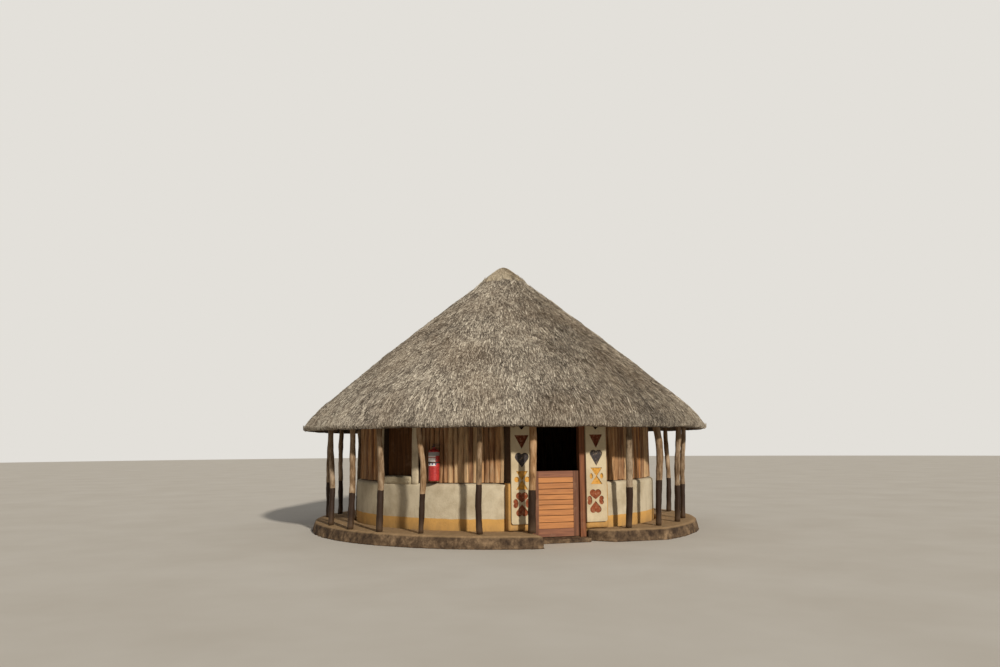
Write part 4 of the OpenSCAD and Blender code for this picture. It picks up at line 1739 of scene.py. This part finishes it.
    def settled(self, azimuth: float, r: float, z: float, zone: Zone, eave: float) -> Vector:
        """Place a point of the smooth section where the straw has settled into waves.

        Args:
            azimuth: Azimuth in degrees.
            r: Radius on the smooth section.
            z: Height on the smooth section.
            zone: Part of the thatch.
            eave: Radius of the eave.

        Returns:
            The place of the point.
        """
        near_lip = max(0.0, min(1.0, (r - eave + self.lip_from) / self.lip_full))
        wave = ripples(polar(1.0, azimuth), self.sag_waves)
        sag = (wave + 0.5) * self.sag * near_lip
        if zone is Zone.UNDER:
            return polar(r, azimuth, z + sag * 0.5)
        across, down = self.strand_pitch
        rough = ripples(polar(r, azimuth, z), self.lumps)
        rough += ripples(Vector((azimuth * across, r * down, 0.0)), self.strands)
        inward = self.settle + self.lip_settle * near_lip
        out = r - inward * self.lean[0] + rough * self.toss[0]
        return polar(out, azimuth, z - inward * self.lean[1] + sag + rough * self.toss[1])

    @staticmethod
    def hold_back(mesh: Mesh, eave: float, foot: float) -> None:
        """Pull in stalk ends that reach too far.

        Args:
            mesh: The sector with its straw.
            eave: The radius that they keep within.
            foot: The height that they stay above.
        """
        for vertex in mesh.vertices:
            r = math.hypot(vertex.co.x, vertex.co.y)
            if r > eave:
                vertex.co.x *= eave / r
                vertex.co.y *= eave / r
            vertex.co.z = max(vertex.co.z, foot)
        mesh.update()

    def cap(self, tree: Tree) -> None:
        """Make the paler cap of newer straw and its round tuft.

        Args:
            tree: The tree that plants stalks.
        """
        low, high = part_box("thatch_cap")
        rim = [(high.x + out, rise) for out, rise in self.cap_rim]
        inside = [(0.12, -self.depth), (0.001, low.z + 0.01 - self.apex)]
        outline = [*self.cap_outline, *rim, *inside]
        work = bmesh.new()
        sections = []
        for k in range(self.cap_columns):
            azimuth = 360 * k / self.cap_columns
            ragged = 1 + self.cap_ragged * ripple(polar(1, azimuth), 2.6, 4.0)
            reaches = [(r * ragged, rise) for r, rise in outline]
            places = [polar(r, azimuth, self.top_line(r) + rise) for r, rise in reaches]
            sections.append([work.verts.new(place) for place in places])
        for near, far in zip(sections, sections[1:] + sections[:1]):
            for k in range(len(outline) - 1):
                work.faces.new((near[k], near[k + 1], far[k + 1], far[k]))
        bmesh.ops.remove_doubles(work, verts=work.verts, dist=0.008)
        bmesh.ops.holes_fill(work, edges=[e for e in work.edges if e.is_boundary], sides=60)
        bmesh.ops.recalc_face_normals(work, faces=work.faces)
        layer = work.faces.layers.float.new("zone")
        for face in work.faces:
            centre = face.calc_center_median()
            outer = face.normal.z > 0.15 and math.hypot(centre.x, centre.y) > 0.03
            face[layer] = (Zone.SLOPE if outer else Zone.UNDER).value
        finish = self.shop.finish(self.cap_straw)
        mesh = grown(new_mesh("cap", work), tree, self.cap_lie.inputs(70, finish))
        for vertex in mesh.vertices:
            out = math.hypot(vertex.co.x, vertex.co.y, self.tuft_round) - self.tuft_round
            vertex.co.z = min(vertex.co.z, high.z - self.tuft_fall * out)
        keep_inside(mesh, low, high)
        self.shop.piece("thatch_cap_straw", mesh, HUT, "straw", "thatch_cap")


def bezier(points: Sequence[Span], t: float) -> Span:
    """Follow a curve with four control points.

    Args:
        points: The control points.
        t: How far along, 0 to 1.

    Returns:
        The point there.
    """
    weights = ((1 - t) ** 3, 3 * t * (1 - t) ** 2, 3 * t * t * (1 - t), t**3)
    x, y = (sum(w * p[axis] for w, p in zip(weights, points)) for axis in (0, 1))
    return x, y


def straw_tree(bed: StrawBed) -> Tree:
    """Build the tree that plants stalks down the fall of a surface.

    Args:
        bed: What all stalks share.

    Returns:
        The tree. Faces whose zone matches get stalks, cut end downhill.
    """
    tree, sheet, take = begin_tree(
        "straw_lie",
        Float="Zone, Density, Shortest, Longest, Width, Lift Low, Lift High, Stray",
        Int="Seed",
        Material="Finish",
    )
    seed = take["Seed"]
    gap = sheet.math("ABSOLUTE", sheet.minus(sheet.held("zone"), take["Zone"]))
    normals = sheet.out("GeometryNodeInputNormal")
    facing = sheet.add("ShaderNodeSeparateXYZ", {0: normals}).outputs["Z"]
    turned_up = sheet.math("GREATER_THAN", facing, bed.facing)
    chosen = sheet.times(sheet.math("LESS_THAN", gap, bed.match), turned_up)
    scatter = sheet.add(
        "GeometryNodeDistributePointsOnFaces",
        {"Mesh": take["Geometry"], "Selection": chosen, "Density": take["Density"], "Seed": seed},
    )
    normal = scatter.outputs["Normal"]
    down = (0.0, 0.0, -1.0)
    dot = sheet.add("ShaderNodeVectorMath", {0: down, 1: normal}, operation="DOT_PRODUCT")
    fall = sheet.vector("SUBTRACT", down, sheet.scaled(normal, dot.outputs["Value"]))
    along = sheet.out("FunctionNodeAlignRotationToVector", {"Vector": fall}, axis="Z")
    laid = sheet.out(
        "FunctionNodeAlignRotationToVector",
        {"Rotation": along, "Vector": normal},
        axis="Y",
        pivot_axis="Z",
    )
    spot = sheet.out("GeometryNodeInputPosition")
    clump = sheet.times(sheet.minus(sheet.clouds(spot, bed.tufts[0], 2.0), 0.5), bed.tufts[1])
    sway = sheet.times(sheet.plus(clump, sheet.random(*bed.sway, seed, 3)), take["Stray"])
    lift_span = sheet.minus(take["Lift High"], take["Lift Low"])
    lift = sheet.plus(take["Lift Low"], sheet.times(lift_span, sheet.random(0.0, 1.0, seed, 5)))
    tilt = sheet.turned(sheet.times(lift, -1.0), sway)
    turned = {"Rotation": laid, "Rotate By": tilt}
    long_span = sheet.minus(take["Longest"], take["Shortest"])
    spread = sheet.times(long_span, sheet.random(0.0, 1.0, seed, 7))
    length = sheet.plus(take["Shortest"], spread)
    width = sheet.times(take["Width"], sheet.random(*bed.broad, seed, 9))
    cone = {"Vertices": 3, "Side Segments": 1, "Radius Top": 1.0, "Radius Bottom": 0.0}
    stalk = sheet.out("GeometryNodeMeshCone", {**cone, "Depth": 1.0}, fill_type="NGON")
    hung = {"Geometry": stalk, "Translation": (0.0, 0.0, -1.0)}
    bare = {"Geometry": scatter.outputs["Points"], "Name": "zone"}
    rise = sheet.scaled(normal, sheet.random(*bed.rise, seed, 11))
    raised = {"Geometry": sheet.out("GeometryNodeRemoveAttribute", bare), "Offset": rise}
    things = {
        "Points": sheet.out("GeometryNodeSetPosition", raised),
        "Instance": sheet.out("GeometryNodeTransform", hung),
        "Rotation": sheet.out("FunctionNodeRotateRotation", turned, rotation_space="LOCAL"),
        "Scale": sheet.joined(width, sheet.times(width, bed.flat), length),
    }
    end_tree(sheet, things, sheet.plus(seed, 13), take["Finish"], take["Geometry"])
    return tree


@dataclass
class Extinguisher:
    """The fire extinguisher on the wall."""

    shop: Workshop

    def build(self) -> None:
        """Dress the bottle, the valve and the bracket."""
        self.shop.dress(EnamelFinish(), "extinguisher_body")
        self.shop.dress(IronFinish(), "extinguisher_valve", "extinguisher_bracket")


@dataclass
class Studio:
    """The pale floor, the light and the camera at the photograph's place.

    Angles are in degrees, and the camera's focal length and axis in pixels of the photograph.
    """

    azimuth: float = -17.1
    distance: float = 15.5
    eye: float = 1.51
    pitch: float = 7.97
    roll: float = 0.4
    focal_px: float = 797.0
    axis_px: float = 503.8
    frame_px: float = 1000.0
    sensor: float = 36.0
    sun_azimuth: float = 9.0
    sun_elevation: float = 25.0
    sun_width: float = 3.0
    sun_energy: float = 3.25
    sun_colour: tuple[float, float, float] = (1.0, 0.955, 0.88)
    fill_colour: Colour = (0.97, 0.98, 1.0, 1.0)
    fill_strength: float = 0.28
    backdrop: str = "e3e0da"
    floor_radius: float = 90.0
    floor_drop: float = 0.001

    def build(self) -> None:
        """Make everything that isn't the hut."""
        self.floor()
        self.light()
        self.camera()
        bpy.context.scene.view_settings.view_transform = "Standard"

    def floor(self) -> None:
        """Lay the plain floor, just under the hut's foot."""
        work = bmesh.new()
        bmesh.ops.create_circle(work, cap_ends=True, segments=96, radius=self.floor_radius)
        mesh = new_mesh("studio_floor", work)
        mesh.transform(Matrix.Translation((0, 0, -self.floor_drop)))
        mesh.materials.append(FloorFinish().build())
        new_object("studio_floor", mesh)

    def light(self) -> None:
        """Set one broad soft key light and an even fill."""
        lamp = bpy.data.lights.new("key", "SUN")
        lamp.energy = self.sun_energy
        lamp.angle = math.radians(self.sun_width)
        lamp.color = self.sun_colour
        towards = polar(1.0, self.sun_azimuth, math.tan(math.radians(self.sun_elevation)))
        new_object("key", lamp).rotation_euler = towards.to_track_quat("Z", "Y").to_euler()
        world = bpy.data.worlds.new("studio")
        bpy.context.scene.world = world
        world.use_nodes = True
        sheet = Sheet(world.node_tree)
        path = sheet.add("ShaderNodeLightPath").outputs
        seen = sheet.math("MAXIMUM", path["Is Camera Ray"], path["Is Glossy Ray"])
        seen = sheet.math("MAXIMUM", seen, path["Is Transmission Ray"])
        fill, back = (
            sheet.out("ShaderNodeBackground", {"Color": colour, "Strength": strength})
            for colour, strength in (
                (self.fill_colour, self.fill_strength), (paint(self.backdrop), 1.0)
            )
        )
        mixed = sheet.out("ShaderNodeMixShader", {0: seen, 1: fill, 2: back})
        sheet.add("ShaderNodeOutputWorld", {"Surface": mixed})

    def camera(self) -> None:
        """Stand the camera where the photograph was taken from."""
        data = bpy.data.cameras.new("photo_camera")
        data.sensor_width = self.sensor
        data.lens = data.sensor_width * self.focal_px / self.frame_px
        place = polar(self.distance, self.azimuth, self.eye)
        yaw = math.atan((self.axis_px - self.frame_px / 2) / self.focal_px)
        level = Matrix.Rotation(yaw, 3, "Z") @ Vector((-place.x, -place.y, 0)).normalized()
        tilt = math.radians(self.pitch)
        forward = level * math.cos(tilt) + Vector((0, 0, math.sin(tilt)))
        right = forward.cross(Vector((0, 0, 1))).normalized()
        up = right.cross(forward)
        turn = math.radians(self.roll)
        x = right * math.cos(turn) - up * math.sin(turn)
        y = right * math.sin(turn) + up * math.cos(turn)
        matrix = Matrix((x, y, -forward)).transposed().to_4x4()
        matrix.translation = place
        camera = new_object("photo_camera", data)
        camera.matrix_world = matrix
        bpy.context.scene.camera = camera


def main() -> None:
    """Load the frame, dress every sub-assembly and set the studio."""
    logging.basicConfig(level=logging.INFO, format="%(name)s %(message)s")
    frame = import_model()
    shop = Workshop(frame["nodes"])
    Studio().build()
    for part in (
        Plinth(shop),
        Walls(shop),
        Window(shop),
        DoorFront(shop),
        StableDoor(shop),
        Veranda(shop),
        RoofFrame(shop),
        Thatch(shop),
        Extinguisher(shop),
    ):
        log.info("building %s", type(part).__name__)
        part.build()


if __name__ == "__main__":
    main()
